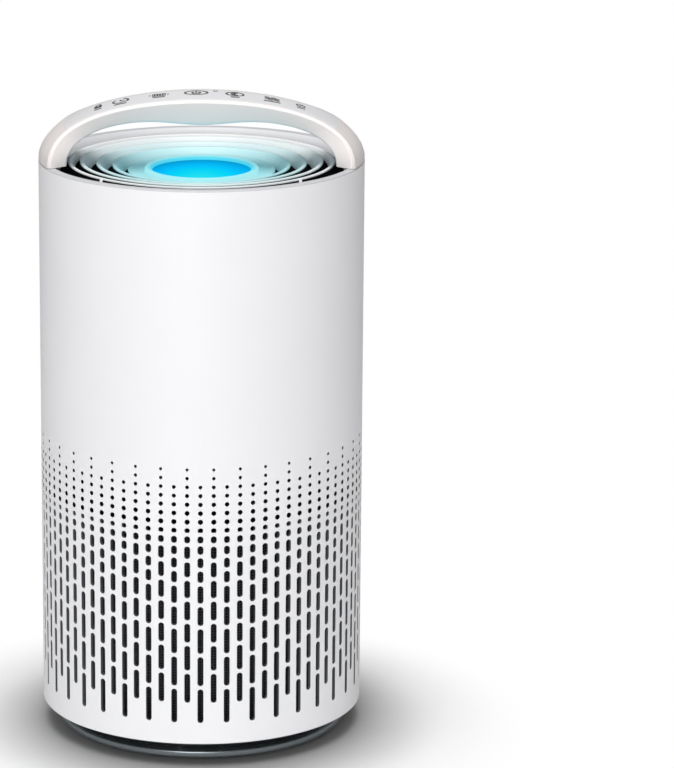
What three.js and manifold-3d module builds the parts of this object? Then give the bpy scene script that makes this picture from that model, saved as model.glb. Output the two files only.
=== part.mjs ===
// A cylindrical tower air purifier with a carrying handle arched over its outlet.
// Millimetres, +Z up, front towards -Y, origin on the floor under the centre.
// Air enters through the perforated lower casing, crosses the ring filter, is lifted
// by the fan and leaves through the dished grille under the handle.
// The base turns in a bayonet: it is drawn at the release position, lugs in line
// with their notches, so the casing can be lifted off the filter.

import * as THREE from 'three';
import { mergeGeometries, mergeVertices } from 'three/addons/utils/BufferGeometryUtils.js';
import Module from 'manifold-3d';

const wasm = await Module();
wasm.setup();

// Driving dimensions
const gap = 0.3; // clearance left between neighbours
const hiddenSides = 20; // facets round the pieces inside the casing
const shownSides = 30; // facets round the pieces open to view
const baseSides = 26; // facets round the base, a little coarser
const casingRadius = 100;
const casingWall = 2.4;
const casingHeight = 348;
const baseRise = 15; // floor to the casing's lower edge
const rimLevel = baseRise + casingHeight;
const rimInner = 95.2; // inner edge of the rim's flat top
const rimRound = 1;
const rimDepth = 3;

// Perforation: two kinds of column take turns round the casing
const columns = 78;
const slotWidth = 3.5;
const slotGap = 2.15; // plastic left between two slots of a column
const slotRowsCut = 2; // the longest rows, counted from the bottom
const longColumn = { foot: 13.7, lengths: [21.6, 18.5, 15.7, 12, 11, 7.2, 6.3, 5.4] };
const shortColumn = { foot: 26.7, lengths: [18.5, 15.7, 12, 12, 11, 9.5, 7.8] };

// Handle: an arch along X, as wide as the feet need at the rim
const handleRise = 36;
const handleTilt = 0.07; // the touch face falls this much per mm towards the front
const handleHalfWidth = 15;
const handleFootHalfWidth = 37.9;
const handleFlare = 5.4;
const handleInnerSpan = 82.3;
const handleInnerRise = 23.5;
const handleInnerPower = 2.55;
const handleBelly = 3.4; // the grip sags this much at mid-span
const handleWall = 2.2;
const handleBevel = 1.9;
const handleSole = 0.8; // share of its width that the grip keeps at its underside
const panelReach = [33, 147]; // where the touch strip starts and ends along the arch, degrees
const hollowReach = [11, 169]; // the hollow in the grip, degrees
const tongueWidth = 30;

// Outlet grille: top edge radius and depth below the rim of each louvre ring
const louvreRings = [[82, 3], [73.6, 4], [63.6, 5], [53.7, 7], [43.3, 9]];
const louvreWidth = 1.8;
const louvreRun = 6;
const louvreFall = 8.2;
const lensRadius = 30.4;
const lensDepth = 9.7;
const lensThickness = 1.6;
const cupRadius = 33.6;
const cupWall = 1.8;
const cupDepth = 30;
const cupStep = 1.4; // lens face down to the cup's rim, which carries the lip
const boardDrop = 8; // lens face down to the light board
const ribAngles = [-140, -40, 40, 140];
const hoopRadius = 97; // outer edge of the rings that lie against the casing's wall
const seatInner = 94;
const seatDepth = 14.2;
const seatThickness = 2;
const ribThickness = 1.6;

// Fan deck
const deckLevel = 188.3; // underside of the inlet plate
const deckRadius = 97.2; // outer edge of the plate and the frame's rings inside the casing
const plateThickness = 2.5;
const throatRadius = 43.5;
const throatTop = 205;
const guardRise = 6; // the bars across the throat, above the plate's underside
const guardReach = 40.6;
const flangeThickness = 2;
const housingRadius = 90;
const housingWall = 2;
const vaneLevel = 262.3;
const vaneHeight = 29.7;
const vaneCount = 11;
const vaneLean = 20; // degrees its foot is turned back from its top
const vaneHalfThickness = 0.9;
const hubRadius = 36;
const hubWall = 2;
const hubFloor = 2.5;
const impellerRadius = 72;
const impellerFoot = 202.6;
const bladeInner = 40;
const bladeHalfThickness = 0.8;
const bladeSweep = 0.75; // radians the blade trails from root to tip
const bladeCount = 9;
const motorRadius = 26;
const motorLow = 221.4;
const motorHigh = 250;
const canWall = 2.2;
const shaftRadius = 2.5;
const bearingInner = 3;
const bearingOuter = 4.8;
const bearingHeight = 5;
const statorLow = 228;
const statorHigh = 248;
const statorTeeth = 9;
const motorSides = 18;

// Filter and base
const filterRadius = 82.2;
const filterFoot = 14;
const filterTop = 183;
const capFloor = 5; // thickness of the filter's lower cap
const capRim = 8;
const capThickness = 4; // thickness of its upper cap
const filterBore = 46;
const pleats = 30;
const pleatFoot = 55.6; // outer side of the paper at the bottom of a fold
const pleatCrest = 78.4;
const paperThickness = 2; // the folded sheets with the air between them, measured along the radius
const baseRadius = 90;
const baseFloor = 3; // underside of the base over the floor
const plugRadius = 84.8;
const plugTop = 26;
const plugWall = 1.8;
const lugLevel = 20.5;
const lugThickness = 3.5;
const pocketRadius = 34; // finger hollows under the base
const ledgeLevel = 17; // bayonet ring under the inner frame
const ledgeThickness = 3;
const ledgeInner = 89;
const lugReach = 94;
const lugHalfAngle = 9;
const notchHalfAngle = 10.5;
const footCircle = 72;
const footRadius = 8;
const footHeight = 2.7;
const lugAngles = [0, 120, 240];
const postAngles = [30, 70, 150, 190, 270, 310];
const inletLevel = 25;
const inletHole = 3.85; // radius of the socket's hole in the casing
const inletCollar = 3.5;
const inletBore = 2.8;
const leadAngle = 183;
const leadRadius = 93.4;

const finishes = {
  whitePlastic: [0xf2f2f4, 0.38, 0],
  greyPlastic: [0xd9dadd, 0.42, 0],
  darkPlastic: [0x2b2d30, 0.55, 0],
  blackPlastic: [0x141517, 0.5, 0],
  silverPlastic: [0xb4bcc2, 0.3, 0.6],
  touchGloss: [0xe9e9ec, 0.2, 0],
  lensBlue: [0x19a5f0, 0.3, 0],
  lipCyan: [0xc9fbff, 0.45, 0],
  circuitGreen: [0x1f6b3c, 0.5, 0],
  steel: [0xb8babd, 0.3, 1],
  copper: [0xb5703c, 0.4, 1],
  bronze: [0xa07a45, 0.4, 1],
  filterPaper: [0xe8e6df, 0.95, 0],
  carbonFoam: [0x1c1c1e, 1, 0],
  meshCloth: [0x3a3d41, 0.9, 0],
  foam: [0x55585c, 0.95, 0],
  rubber: [0x202123, 0.85, 0],
};

const model = new THREE.Group();

function add(name, geometry, finish) {
  const [color, roughness, metalness] = finishes[finish];
  const material = new THREE.MeshStandardMaterial({ color, roughness, metalness });
  geometry.computeVertexNormals();
  const mesh = new THREE.Mesh(geometry, material);
  mesh.name = name;
  model.add(mesh);
  return mesh;
}

// Joins shared corners, drops triangles without area and turns every face outwards.
function weld(source) {
  const bare = source.clone();
  bare.deleteAttribute('normal');
  bare.deleteAttribute('uv');
  const welded = mergeVertices(bare, 1e-4);
  const position = welded.attributes.position;
  const corner = [new THREE.Vector3(), new THREE.Vector3(), new THREE.Vector3()];
  const kept = [];
  let volume = 0;
  for (let i = 0; i < welded.index.count; i += 3) {
    const triangle = [0, 1, 2].map((k) => welded.index.getX(i + k));
    if (new Set(triangle).size < 3) continue;
    kept.push(triangle);
    triangle.forEach((vertex, k) => corner[k].fromBufferAttribute(position, vertex));
    volume += corner[0].dot(corner[1].cross(corner[2]));
  }
  if (volume < 0) kept.forEach((triangle) => triangle.reverse());
  welded.setIndex(kept.flat());
  return welded;
}

function asSolid(geometry) {
  const clean = weld(geometry);
  return new wasm.Manifold(new wasm.Mesh({
    numProp: 3,
    vertProperties: new Float32Array(clean.attributes.position.array),
    triVerts: new Uint32Array(clean.index.array),
  }));
}

function asGeometry(solid) {
  const mesh = solid.getMesh();
  const geometry = new THREE.BufferGeometry();
  geometry.setAttribute('position', new THREE.BufferAttribute(mesh.vertProperties, 3));
  geometry.setIndex(new THREE.BufferAttribute(mesh.triVerts, 1));
  return geometry;
}

// Turns a [radius, height] outline round Z; an outline off the axis closes on itself.
function revolve(outline, segments = hiddenSides, start = 0) {
  const points = outline.map(([radius, height]) => new THREE.Vector2(radius, height));
  if (outline[0][0] > 0) points.push(points[0].clone());
  const turned = new THREE.LatheGeometry(points, segments, start);
  return weld(turned.rotateX(Math.PI / 2));
}

const ring = (inner, outer, low, high, segments = hiddenSides) => revolve(
  [[outer, low], [outer, high], [inner, high], [inner, low]], segments);

const disc = (radius, low, high, segments = hiddenSides) => revolve(
  [[0, low], [radius, low], [radius, high], [0, high]], segments);

// A flat outline in XY, given height along Z.
function prism(outline, low, high, holes = []) {
  const shape = new THREE.Shape(outline.map(([x, y]) => new THREE.Vector2(x, y)));
  for (const hole of holes) {
    shape.holes.push(new THREE.Path(hole.map(([x, y]) => new THREE.Vector2(x, y))));
  }
  const solid = new THREE.ExtrudeGeometry(shape, { depth: high - low, bevelEnabled: false });
  return weld(solid.translate(0, 0, low));
}

// A block given by its width, its radial reach and its height, turned to an angle
// counted from the front towards +X.
function radialBlock(width, near, far, low, high, angle) {
  const block = new THREE.BoxGeometry(width, far - near, high - low);
  block.translate(0, -(near + far) / 2, (low + high) / 2);
  return weld(block.rotateZ(THREE.MathUtils.degToRad(angle)));
}

// A plate standing in the radial plane, outlined by [radius, height].
function radialPlate(outline, thickness, angle) {
  const shape = new THREE.Shape(outline.map(([r, z]) => new THREE.Vector2(r, z)));
  const plate = new THREE.ExtrudeGeometry(shape, { depth: thickness, bevelEnabled: false });
  plate.translate(0, 0, -thickness / 2);
  plate.rotateX(Math.PI / 2);
  plate.rotateZ(THREE.MathUtils.degToRad(angle - 90));
  return weld(plate);
}

const joined = (...pieces) => asSolid(mergeGeometries(pieces.map(weld)));

const union = (pieces) => pieces.map(asSolid).reduce((whole, piece) => whole.add(piece));

// Skins a row of matching closed outlines and caps both ends.
function loft(sections) {
  const count = sections[0].length;
  const vertices = sections.flat().flatMap((point) => [point.x, point.y, point.z]);
  const faces = [];
  for (let s = 0; s < sections.length - 1; s++) {
    for (let k = 0; k < count; k++) {
      const next = (k + 1) % count;
      const [a, b] = [s * count + k, s * count + next];
      faces.push([a, b, b + count], [a, b + count, a + count]);
    }
  }
  const last = (sections.length - 1) * count;
  for (const [section, base, flip] of [[sections[0], 0, true], [sections.at(-1), last, false]]) {
    for (const cap of capTriangles(section)) {
      const face = cap.map((k) => base + k);
      faces.push(flip ? face.reverse() : face);
    }
  }
  const geometry = new THREE.BufferGeometry();
  geometry.setAttribute('position', new THREE.Float32BufferAttribute(vertices, 3));
  geometry.setIndex(faces.flat());
  return weld(geometry);
}

// Triangles of a flat closed outline, seen along its own normal.
function capTriangles(section) {
  const normal = new THREE.Vector3();
  section.forEach((point, k) => {
    const next = section[(k + 1) % section.length];
    normal.add(new THREE.Vector3().crossVectors(point, next));
  });
  normal.normalize();
  const level = new THREE.Quaternion().setFromUnitVectors(normal, new THREE.Vector3(0, 0, 1));
  const flat = section.map((point) => {
    const turned = point.clone().applyQuaternion(level);
    return new THREE.Vector2(turned.x, turned.y);
  });
  return THREE.ShapeUtils.triangulateShape(flat, []);
}

// Outer casing: a facet for each column of holes, the longest slots cut through
function slotsOfColumn(column) {
  const { foot, lengths } = column % 2 === 0 ? longColumn : shortColumn;
  let low = baseRise + foot;
  return lengths.map((length) => {
    const slot = { low, high: low + length };
    low += length + slotGap;
    return slot;
  });
}

function buildCasing() {
  const corner = 1 / Math.cos(Math.PI / columns); // facet middles lie on the radius
  const inner = casingRadius - casingWall;
  const outline = [
    [casingRadius, baseRise],
    [casingRadius, rimLevel - rimRound],
    [casingRadius - rimRound, rimLevel],
    [rimInner, rimLevel],
    [inner, rimLevel - rimDepth],
    [inner, baseRise],
  ].map(([radius, height]) => [radius * corner, height]);
  const shell = asSolid(revolve(outline, columns, Math.PI / columns));
  const cutters = [];
  for (let column = 0; column < columns; column++) {
    for (const slot of slotsOfColumn(column).slice(0, slotRowsCut)) {
      const angle = column * 360 / columns;
      cutters.push(radialBlock(slotWidth, inner - 3, casingRadius + 3, slot.low, slot.high, angle));
    }
  }
  const socketHole = new THREE.CylinderGeometry(inletHole, inletHole, 12, 12);
  socketHole.translate(0, casingRadius, inletLevel);
  const casing = shell.subtract(joined(...cutters)).subtract(asSolid(socketHole));
  add('outer_casing', asGeometry(casing), 'whitePlastic');
}

// Handle: every section stands on the arch; theta runs from the left foot to the right
const archWidth = (theta) => {
  const flare = Math.abs(Math.cos(theta)) ** handleFlare;
  return handleHalfWidth + (handleFootHalfWidth - handleHalfWidth) * flare;
};

// A point of the handle's top face, sunk by a depth along the arch's own normal.
function archTop(theta, y, depth = 0) {
  const span = Math.sqrt(casingRadius ** 2 - y ** 2) - depth;
  const rise = handleRise * (Math.sin(theta)) + handleTilt * y * Math.sin(theta) ** 2;
  const sink = depth * Math.sin(theta);
  return new THREE.Vector3(-span * Math.cos(theta), y, rimLevel + gap + rise - sink);
}

// A point of the grip's underside, sunk outwards by a depth.
function archUnder(theta, y, depth = 0) {
  const along = Math.sign(Math.cos(theta)) * Math.abs(Math.cos(theta)) ** (2 / handleInnerPower);
  const up = Math.sin(theta) ** (2 / handleInnerPower);
  const x = -(handleInnerSpan + depth) * along;
  const belly = handleBelly * Math.exp(-((x / 35) ** 2));
  const z = (handleInnerRise + depth) * up - belly * up;
  return new THREE.Vector3(x, y, rimLevel + gap + z);
}

// Stations along the arch, in degrees from the left foot; trim draws in the two ends.
function archAngles(from, to, steps, trim = 0) {
  const angles = Array.from({ length: steps + 1 }, (_, k) => from + (to - from) * k / steps);
  angles[0] += trim;
  angles[steps] -= trim;
  return angles.map(THREE.MathUtils.degToRad);
}

function handleSection(theta) {
  const wide = archWidth(theta);
  const low = wide * handleSole;
  const across = [-1, -0.5, 0, 0.5, 1];
  const outer = across.map((share) => archTop(theta, share * (wide - handleBevel)));
  const front = archTop(theta, -wide, handleBevel);
  const rear = archTop(theta, wide, handleBevel);
  return [front, ...outer, rear, archUnder(theta, low), archUnder(theta, -low)];
}

// The hollow of the handle, open along the underside where its cover goes.
function cavitySection(theta) {
  const edge = archWidth(theta) * handleSole - handleWall;
  const roof = [-1, 0, 1].map((share) => archTop(theta, share * edge, 4.2));
  return [...roof, archUnder(theta, edge, -3), archUnder(theta, -edge, -3)];
}

// A strip that lies along the arch between two depths under its top face.
function handleStrip(angles, margin, top, bottom) {
  return loft(angles.map((theta) => {
    const wide = archWidth(theta) - margin;
    const across = [-1, 0, 1];
    const upper = across.map((share) => archTop(theta, share * wide, top));
    const lower = across.toReversed().map((share) => archTop(theta, share * wide, bottom));
    return [...upper, ...lower];
  }));
}

function buildHandle() {
  const shell = asSolid(loft(archAngles(0, 180, 20).map(handleSection)));
  const recess = asSolid(handleStrip(archAngles(...panelReach, 12), 3 - gap, -1.5, 1.5));
  const tongues = [-90, 90].map((angle) => radialBlock(
    tongueWidth, 87, 93.5, rimLevel - seatDepth + gap, rimLevel + 2, angle));
  const cavity = asSolid(loft(archAngles(...hollowReach, 16).map(cavitySection)));
  const handle = tongues.reduce((whole, tongue) => whole.add(asSolid(tongue)), shell)
    .subtract(cavity)
    .subtract(recess);
  add('handle_shell', asGeometry(handle), 'whitePlastic');
  add('touch_panel', handleStrip(archAngles(...panelReach, 12, 1.2), 3, 0, 1.1), 'touchGloss');
  add('touch_film', handleStrip(archAngles(40, 140, 8), 7, 4.9, 5.5), 'circuitGreen');
  const cover = loft(archAngles(...hollowReach, 16, 3).map((theta) => {
    const wide = archWidth(theta) * handleSole - handleWall - 1.8;
    const lower = [-1, 1].map((share) => archUnder(theta, share * wide));
    const upper = [1, -1].map((share) => archUnder(theta, share * wide, 1.6));
    return [...lower, ...upper];
  }));
  add('handle_cover', cover, 'greyPlastic');
}

// Outlet grille: dished louvre rings and the light's cup on four ribs, over a seat in the casing
function louvreOutline([radius, depth]) {
  const top = rimLevel - depth;
  return [
    [radius, top],
    [radius - louvreWidth, top],
    [radius - louvreWidth - louvreRun, top - louvreFall],
    [radius - louvreRun, top - louvreFall - 1],
  ];
}

function buildGrille() {
  const rings = louvreRings.map((entry) => revolve(louvreOutline(entry), shownSides));
  const cup = revolve([
    [0, rimLevel - cupDepth], [cupRadius, rimLevel - cupDepth],
    [cupRadius, rimLevel - lensDepth - cupStep],
    [cupRadius - cupWall, rimLevel - lensDepth - cupStep],
    [cupRadius - cupWall, rimLevel - cupDepth + 2], [0, rimLevel - cupDepth + 2],
  ]);
  const seat = rimLevel - seatDepth;
  add('grille_seat', ring(seatInner, hoopRadius, seat - seatThickness, seat), 'blackPlastic');
  const rib = [
    [cupRadius - 1, -26], [cupRadius - 1, -17.6], [38, -17], [74, -11.6], [80.4, -3.6],
    [94.6, -3.6], [96.6, -6], [96.6, gap - seatDepth], [92, gap - seatDepth], [80, -19],
  ].map(([radius, height]) => [radius, rimLevel + height]);
  const ribs = ribAngles.map((angle) => radialPlate(rib, ribThickness, angle));
  add('outlet_grille', asGeometry(union([...rings, cup, ...ribs])), 'greyPlastic');
}

function buildLight() {
  const top = rimLevel - lensDepth;
  const inside = cupRadius - cupWall - gap;
  add('light_lens', revolve([
    [0, top - lensThickness], [lensRadius, top - lensThickness], [lensRadius, top], [0, top],
  ], shownSides), 'lensBlue');
  add('light_lip', revolve([
    [lensRadius + gap, top - 1.1], [cupRadius + 1.6, top - 1.1], [cupRadius + 1, top + 1.2],
    [lensRadius + gap, top + 0.2],
  ], shownSides), 'lipCyan');
  const board = [disc(inside, top - boardDrop - 1.6, top - boardDrop)];
  for (const angle of [0, 90, 180, 270]) {
    board.push(radialBlock(3.5, 18, 21.5, top - boardDrop - 0.2, top - boardDrop + 1.2, angle));
  }
  add('light_board', asGeometry(union(board)), 'circuitGreen');
}

// Fan deck: inlet plate with bell mouth, guard, housing, guide vanes and motor cup
const leadNotch = (low, high) => asSolid(radialBlock(7, 90.6, 99, low, high, leadAngle));

function buildDeck() {
  const plate = revolve([
    [deckRadius, deckLevel], [deckRadius, deckLevel + plateThickness],
    [51, deckLevel + plateThickness],
    [45.5, throatTop - 9], [throatRadius, throatTop], [throatRadius - 1.6, throatTop],
    [throatRadius - 0.6, throatTop - 9], [48, deckLevel],
  ]);
  const notch = leadNotch(deckLevel - 1, deckLevel + plateThickness + 1);
  add('inlet_plate', asGeometry(asSolid(plate).subtract(notch)), 'blackPlastic');
  const guardLow = deckLevel + guardRise;
  const guard = [ring(20, 22, guardLow, guardLow + 2, 9)];
  for (const angle of [0, 60, 120]) {
    guard.push(radialBlock(1.8, -guardReach, guardReach, guardLow, guardLow + 2, angle));
  }
  add('inlet_guard', asGeometry(union(guard)), 'blackPlastic');
  const floor = deckLevel + plateThickness + gap;
  const roof = vaneLevel - gap;
  const inner = housingRadius - housingWall;
  const housing = revolve([
    [hoopRadius, floor], [hoopRadius, floor + flangeThickness],
    [housingRadius, floor + flangeThickness], [housingRadius, roof], [inner, roof], [inner, floor],
  ]);
  const housingNotch = leadNotch(floor - 1, floor + 3);
  add('fan_housing', asGeometry(asSolid(housing).subtract(housingNotch)), 'blackPlastic');
}

function buildVanes() {
  const top = vaneLevel + vaneHeight;
  const inner = housingRadius - housingWall;
  const outerRing = revolve([
    [hoopRadius, vaneLevel], [hoopRadius, vaneLevel + flangeThickness],
    [housingRadius, vaneLevel + flangeThickness], [housingRadius, top], [inner, top], [inner, vaneLevel],
  ]);
  const cup = revolve([
    [8, vaneLevel], [hubRadius, vaneLevel], [hubRadius, top], [hubRadius - hubWall, top],
    [hubRadius - hubWall, vaneLevel + hubFloor], [8, vaneLevel + hubFloor],
  ]);
  const vanes = Array.from({ length: vaneCount }, (_, k) => guideVane(k * 360 / vaneCount + 12));
  const unit = union([outerRing, cup, ...vanes]).subtract(leadNotch(vaneLevel - 1, vaneLevel + 3));
  add('guide_vanes', asGeometry(unit), 'blackPlastic');
  const cover = revolve([
    [hubRadius, top + gap], [33.6, top + 14], [4, top + 28], [4, top + 26.2],
    [32, top + 13.4], [hubRadius - 1.8, top + gap],
  ]);
  const leadHole = radialBlock(6, 30, 38, top - 1, top + 7.4, leadAngle);
  add('hub_cover', asGeometry(asSolid(cover).subtract(asSolid(leadHole))), 'blackPlastic');
}

// A vane that leans against the swirl at its foot and stands upright at its top.
function guideVane(angle) {
  const [root, tip, half] = [hubRadius - 1, housingRadius - 1, vaneHalfThickness];
  const sections = [[vaneLevel, vaneLean], [vaneLevel + vaneHeight, 0]].map(([z, lean]) => {
    return [[root, -half], [tip, -half], [tip, half], [root, half]]
      .map(([radius, side]) => {
        const turn = THREE.MathUtils.degToRad(angle - lean * (hubRadius + 30) / (radius + 30));
        const point = new THREE.Vector3(side, -radius, z);
        return point.applyAxisAngle(new THREE.Vector3(0, 0, 1), turn);
      });
  });
  return loft(sections);
}

// Impeller: backward-curved blades between a cupped back plate and a shroud
function bladeOutline() {
  const steps = 3;
  const sides = [[], []];
  for (let k = 0; k <= steps; k++) {
    const share = k / steps;
    const radius = bladeInner + (impellerRadius - bladeInner) * share;
    const sweep = -bladeSweep * share ** 1.2;
    const lean = bladeHalfThickness * (1 - 0.4 * share) / radius;
    sides[0].push([radius * Math.sin(sweep - lean), -radius * Math.cos(sweep - lean)]);
    sides[1].unshift([radius * Math.sin(sweep + lean), -radius * Math.cos(sweep + lean)]);
  }
  return sides.flat();
}

function buildImpeller() {
  const segments = 16;
  const boss = [
    [3, 208], [7, 208], [7, 218], [28.8, 218.8], [29.4, 241], [impellerRadius, 236.4],
    [impellerRadius, 238.2], [27.4, 243], [27.4, 221], [3, 221],
  ];
  const shroud = [
    [46, impellerFoot], [47.6, impellerFoot], [50, 206.4], [impellerRadius, 213.4],
    [impellerRadius, 215.2], [48, 208],
  ];
  const space = [
    [38, 205], [47.2, 205], [50, 207.4], [impellerRadius, 214.4], [impellerRadius, 237.3],
    [38, 241],
  ];
  const envelope = asSolid(revolve(space, segments));
  const blade = prism(bladeOutline(), 200, 246);
  const blades = Array.from({ length: bladeCount }, (_, k) => {
    const turn = 2 * Math.PI * k / bladeCount;
    return asSolid(blade.clone().rotateZ(turn)).intersect(envelope);
  });
  const wheel = [...blades, asSolid(revolve(shroud, segments))]
    .reduce((whole, piece) => whole.add(piece), asSolid(revolve(boss, segments)));
  add('impeller', asGeometry(wheel), 'greyPlastic');
}

function buildMotor() {
  add('rotor_can', revolve([
    [3, motorLow], [motorRadius, motorLow], [motorRadius, motorHigh],
    [motorRadius - canWall, motorHigh], [motorRadius - canWall, motorLow + canWall],
    [3, motorLow + canWall],
  ], motorSides), 'steel');
  add('motor_shaft', disc(shaftRadius, 204, 256, 8), 'steel');
  add('shaft_nut', ring(2.9, 5.6, 203.4, 207.6, 6), 'bronze');
  const seat = vaneLevel - gap;
  add('motor_base', revolve([
    [30, seat - 3], [30, seat], [5.2, seat], [5.2, 226], [7.4, 226], [7.4, seat - 3],
  ], 16), 'darkPlastic');
  for (const [name, low] of [['bearing_lower', 227], ['bearing_upper', 250]]) {
    add(name, ring(bearingInner, bearingOuter, low, low + bearingHeight, 8), 'bronze');
  }
  const star = [];
  for (let k = 0; k < statorTeeth; k++) {
    for (const [radius, offset] of [[12, -14], [22.4, -16], [22.4, 16], [12, 14]]) {
      const side = offset * (radius > 20 ? 1 : 0.55);
      const turn = THREE.MathUtils.degToRad(k * 360 / statorTeeth + side);
      star.push([radius * Math.cos(turn), radius * Math.sin(turn)]);
    }
  }
  const bore = Array.from({ length: statorTeeth }, (_, k) => {
    const turn = -2 * Math.PI * k / statorTeeth;
    return [7.9 * Math.cos(turn), 7.9 * Math.sin(turn)];
  });
  add('motor_stator', prism(star, statorLow, statorHigh, [bore]), 'copper');
}

// Main board in the motor cup, with the parts soldered to it
function buildElectronics() {
  const floor = vaneLevel + 6;
  const board = disc(hubRadius - hubWall - 0.6, floor, floor + 1.6, 16);
  const top = floor + 1.2;
  const capacitors = [[-14, -12], [-4, -18], [16, -10]].map(([x, y]) => {
    const can = new THREE.CylinderGeometry(4, 4, 12, 8).rotateX(Math.PI / 2);
    return weld(can.translate(x, y, top + 6));
  });
  const blocks = [[-12, 10, 14, 12, 5], [10, 12, 12, 10, 2.4], [0, 0, 8, 6, 3]].map(
    ([x, y, width, depth, height]) => {
      const block = new THREE.BoxGeometry(width, depth, height);
      return weld(block.translate(x, y, top + height / 2));
    });
  add('main_board', asGeometry(union([board, ...capacitors, ...blocks])), 'circuitGreen');
  add('air_sensor', radialBlock(28, 86, 95, 150, 182, 168), 'darkPlastic');
}

// Inner frame: top ring on posts, with the bayonet ring screwed under their feet.
// Between the lugs' notches the ring is three arcs.
function buildFrame() {
  const high = ledgeLevel + ledgeThickness;
  lugAngles.forEach((angle, k) => {
    const arc = sector(ledgeInner, deckRadius, ledgeLevel, high, angle + 60, 60 - notchHalfAngle, 6);
    add(`bayonet_ring_${k + 1}`, arc, 'darkPlastic');
  });
  const top = ring(87, deckRadius, deckLevel - gap - 4, deckLevel - gap);
  const posts = postAngles.map((angle) => radialBlock(
    5, 89, 96.6, high + gap, deckLevel - 2, angle));
  const frame = asSolid(top)
    .add(joined(...posts))
    .subtract(leadNotch(deckLevel - 6, deckLevel + 1));
  add('inner_frame', asGeometry(frame), 'darkPlastic');
}

// A block between two radii that follows the circle for an angle either side of its middle.
function sector(near, far, low, high, middle, half, steps = 4) {
  const outline = [];
  for (let k = 0; k <= steps; k++) {
    const turn = THREE.MathUtils.degToRad(middle - half + 2 * half * k / steps);
    outline.push([far * Math.sin(turn), -far * Math.cos(turn)]);
  }
  for (let k = steps; k >= 0; k--) {
    const turn = THREE.MathUtils.degToRad(middle - half + 2 * half * k / steps);
    outline.push([near * Math.sin(turn), -near * Math.cos(turn)]);
  }
  return prism(outline, low, high);
}

function buildInlet() {
  const body = new THREE.BoxGeometry(11, 9, 9).translate(0, 92.6, inletLevel);
  const collar = new THREE.CylinderGeometry(inletCollar, inletCollar, 3.4, 12);
  collar.translate(0, 98, inletLevel);
  const bore = new THREE.CylinderGeometry(inletBore, inletBore, 9, 12);
  bore.translate(0, 96.6, inletLevel);
  const pin = new THREE.CylinderGeometry(1, 1, 7, 8).translate(0, 95, inletLevel);
  const socket = asSolid(body).add(asSolid(collar)).subtract(asSolid(bore)).add(asSolid(pin));
  add('power_inlet', asGeometry(socket), 'blackPlastic');
}

// Leads are round strands swept along their route.
function sweep(points, radius, steps, sides = 5) {
  const route = new THREE.CatmullRomCurve3(points.map((point) => new THREE.Vector3(...point)));
  const outline = Array.from({ length: sides }, (_, k) => {
    const turn = 2 * Math.PI * k / sides;
    return new THREE.Vector2(radius * Math.cos(turn), radius * Math.sin(turn));
  });
  const strand = new THREE.ExtrudeGeometry(new THREE.Shape(outline), {
    steps, bevelEnabled: false, extrudePath: route,
  });
  return weld(strand);
}

function buildLeads() {
  const at = (radius, z) => {
    const turn = THREE.MathUtils.degToRad(leadAngle);
    return [radius * Math.sin(turn), -radius * Math.cos(turn), z];
  };
  const turnLevel = vaneLevel + vaneHeight + 5;
  const lead = sweep([
    at(leadRadius, 31.4), at(leadRadius, 60), at(leadRadius, 120), at(leadRadius, 190),
    at(leadRadius, 262), at(leadRadius, 293), at(89, turnLevel + 3), at(70, turnLevel),
    at(50, turnLevel), at(37, turnLevel), at(31, turnLevel - 0.6), at(25, turnLevel - 6),
  ], 1.8, 20);
  add('power_lead', lead, 'rubber');
  add('light_lead', sweep([
    [0, 0, 300], [0, 0, 312], [0, 0, 324], [0, 0, rimLevel - cupDepth - gap],
  ], 1.4, 2), 'rubber');
}

// Filter: pleated ring between two caps, carbon inside, mesh outside
function buildFilter() {
  const low = filterFoot;
  const mediaLow = low + capFloor + gap;
  const mediaHigh = filterTop - capThickness - gap;
  add('filter_bottom_cap', revolve([
    [0, low], [filterRadius, low], [filterRadius, low + capRim],
    [filterRadius - 0.7, low + capRim], [filterRadius - 0.7, low + capFloor], [0, low + capFloor],
  ]), 'darkPlastic');
  add('filter_top_cap', revolve([
    [filterBore, filterTop], [filterBore, filterTop - capThickness],
    [filterRadius, filterTop - capThickness], [filterRadius, filterTop],
  ]), 'darkPlastic');
  add('filter_gasket', ring(50, 62, filterTop + gap, deckLevel - gap, 16), 'foam');
  const fold = (inner, outer, clockwise) => Array.from({ length: 2 * pleats }, (_, k) => {
    const turn = (clockwise ? -1 : 1) * Math.PI * k / pleats;
    const radius = k % 2 ? outer : inner;
    return [radius * Math.cos(turn), radius * Math.sin(turn)];
  });
  const inside = fold(pleatFoot - paperThickness, pleatCrest - paperThickness, true);
  add('filter_media', prism(fold(pleatFoot, pleatCrest), mediaLow, mediaHigh, [inside]),
    'filterPaper');
  add('filter_mesh', ring(filterRadius - 2.2, filterRadius - 1, mediaLow, mediaHigh), 'meshCloth');
  add('carbon_layer', ring(48, 52.6, mediaLow, mediaHigh, 18), 'carbonFoam');
}

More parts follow.
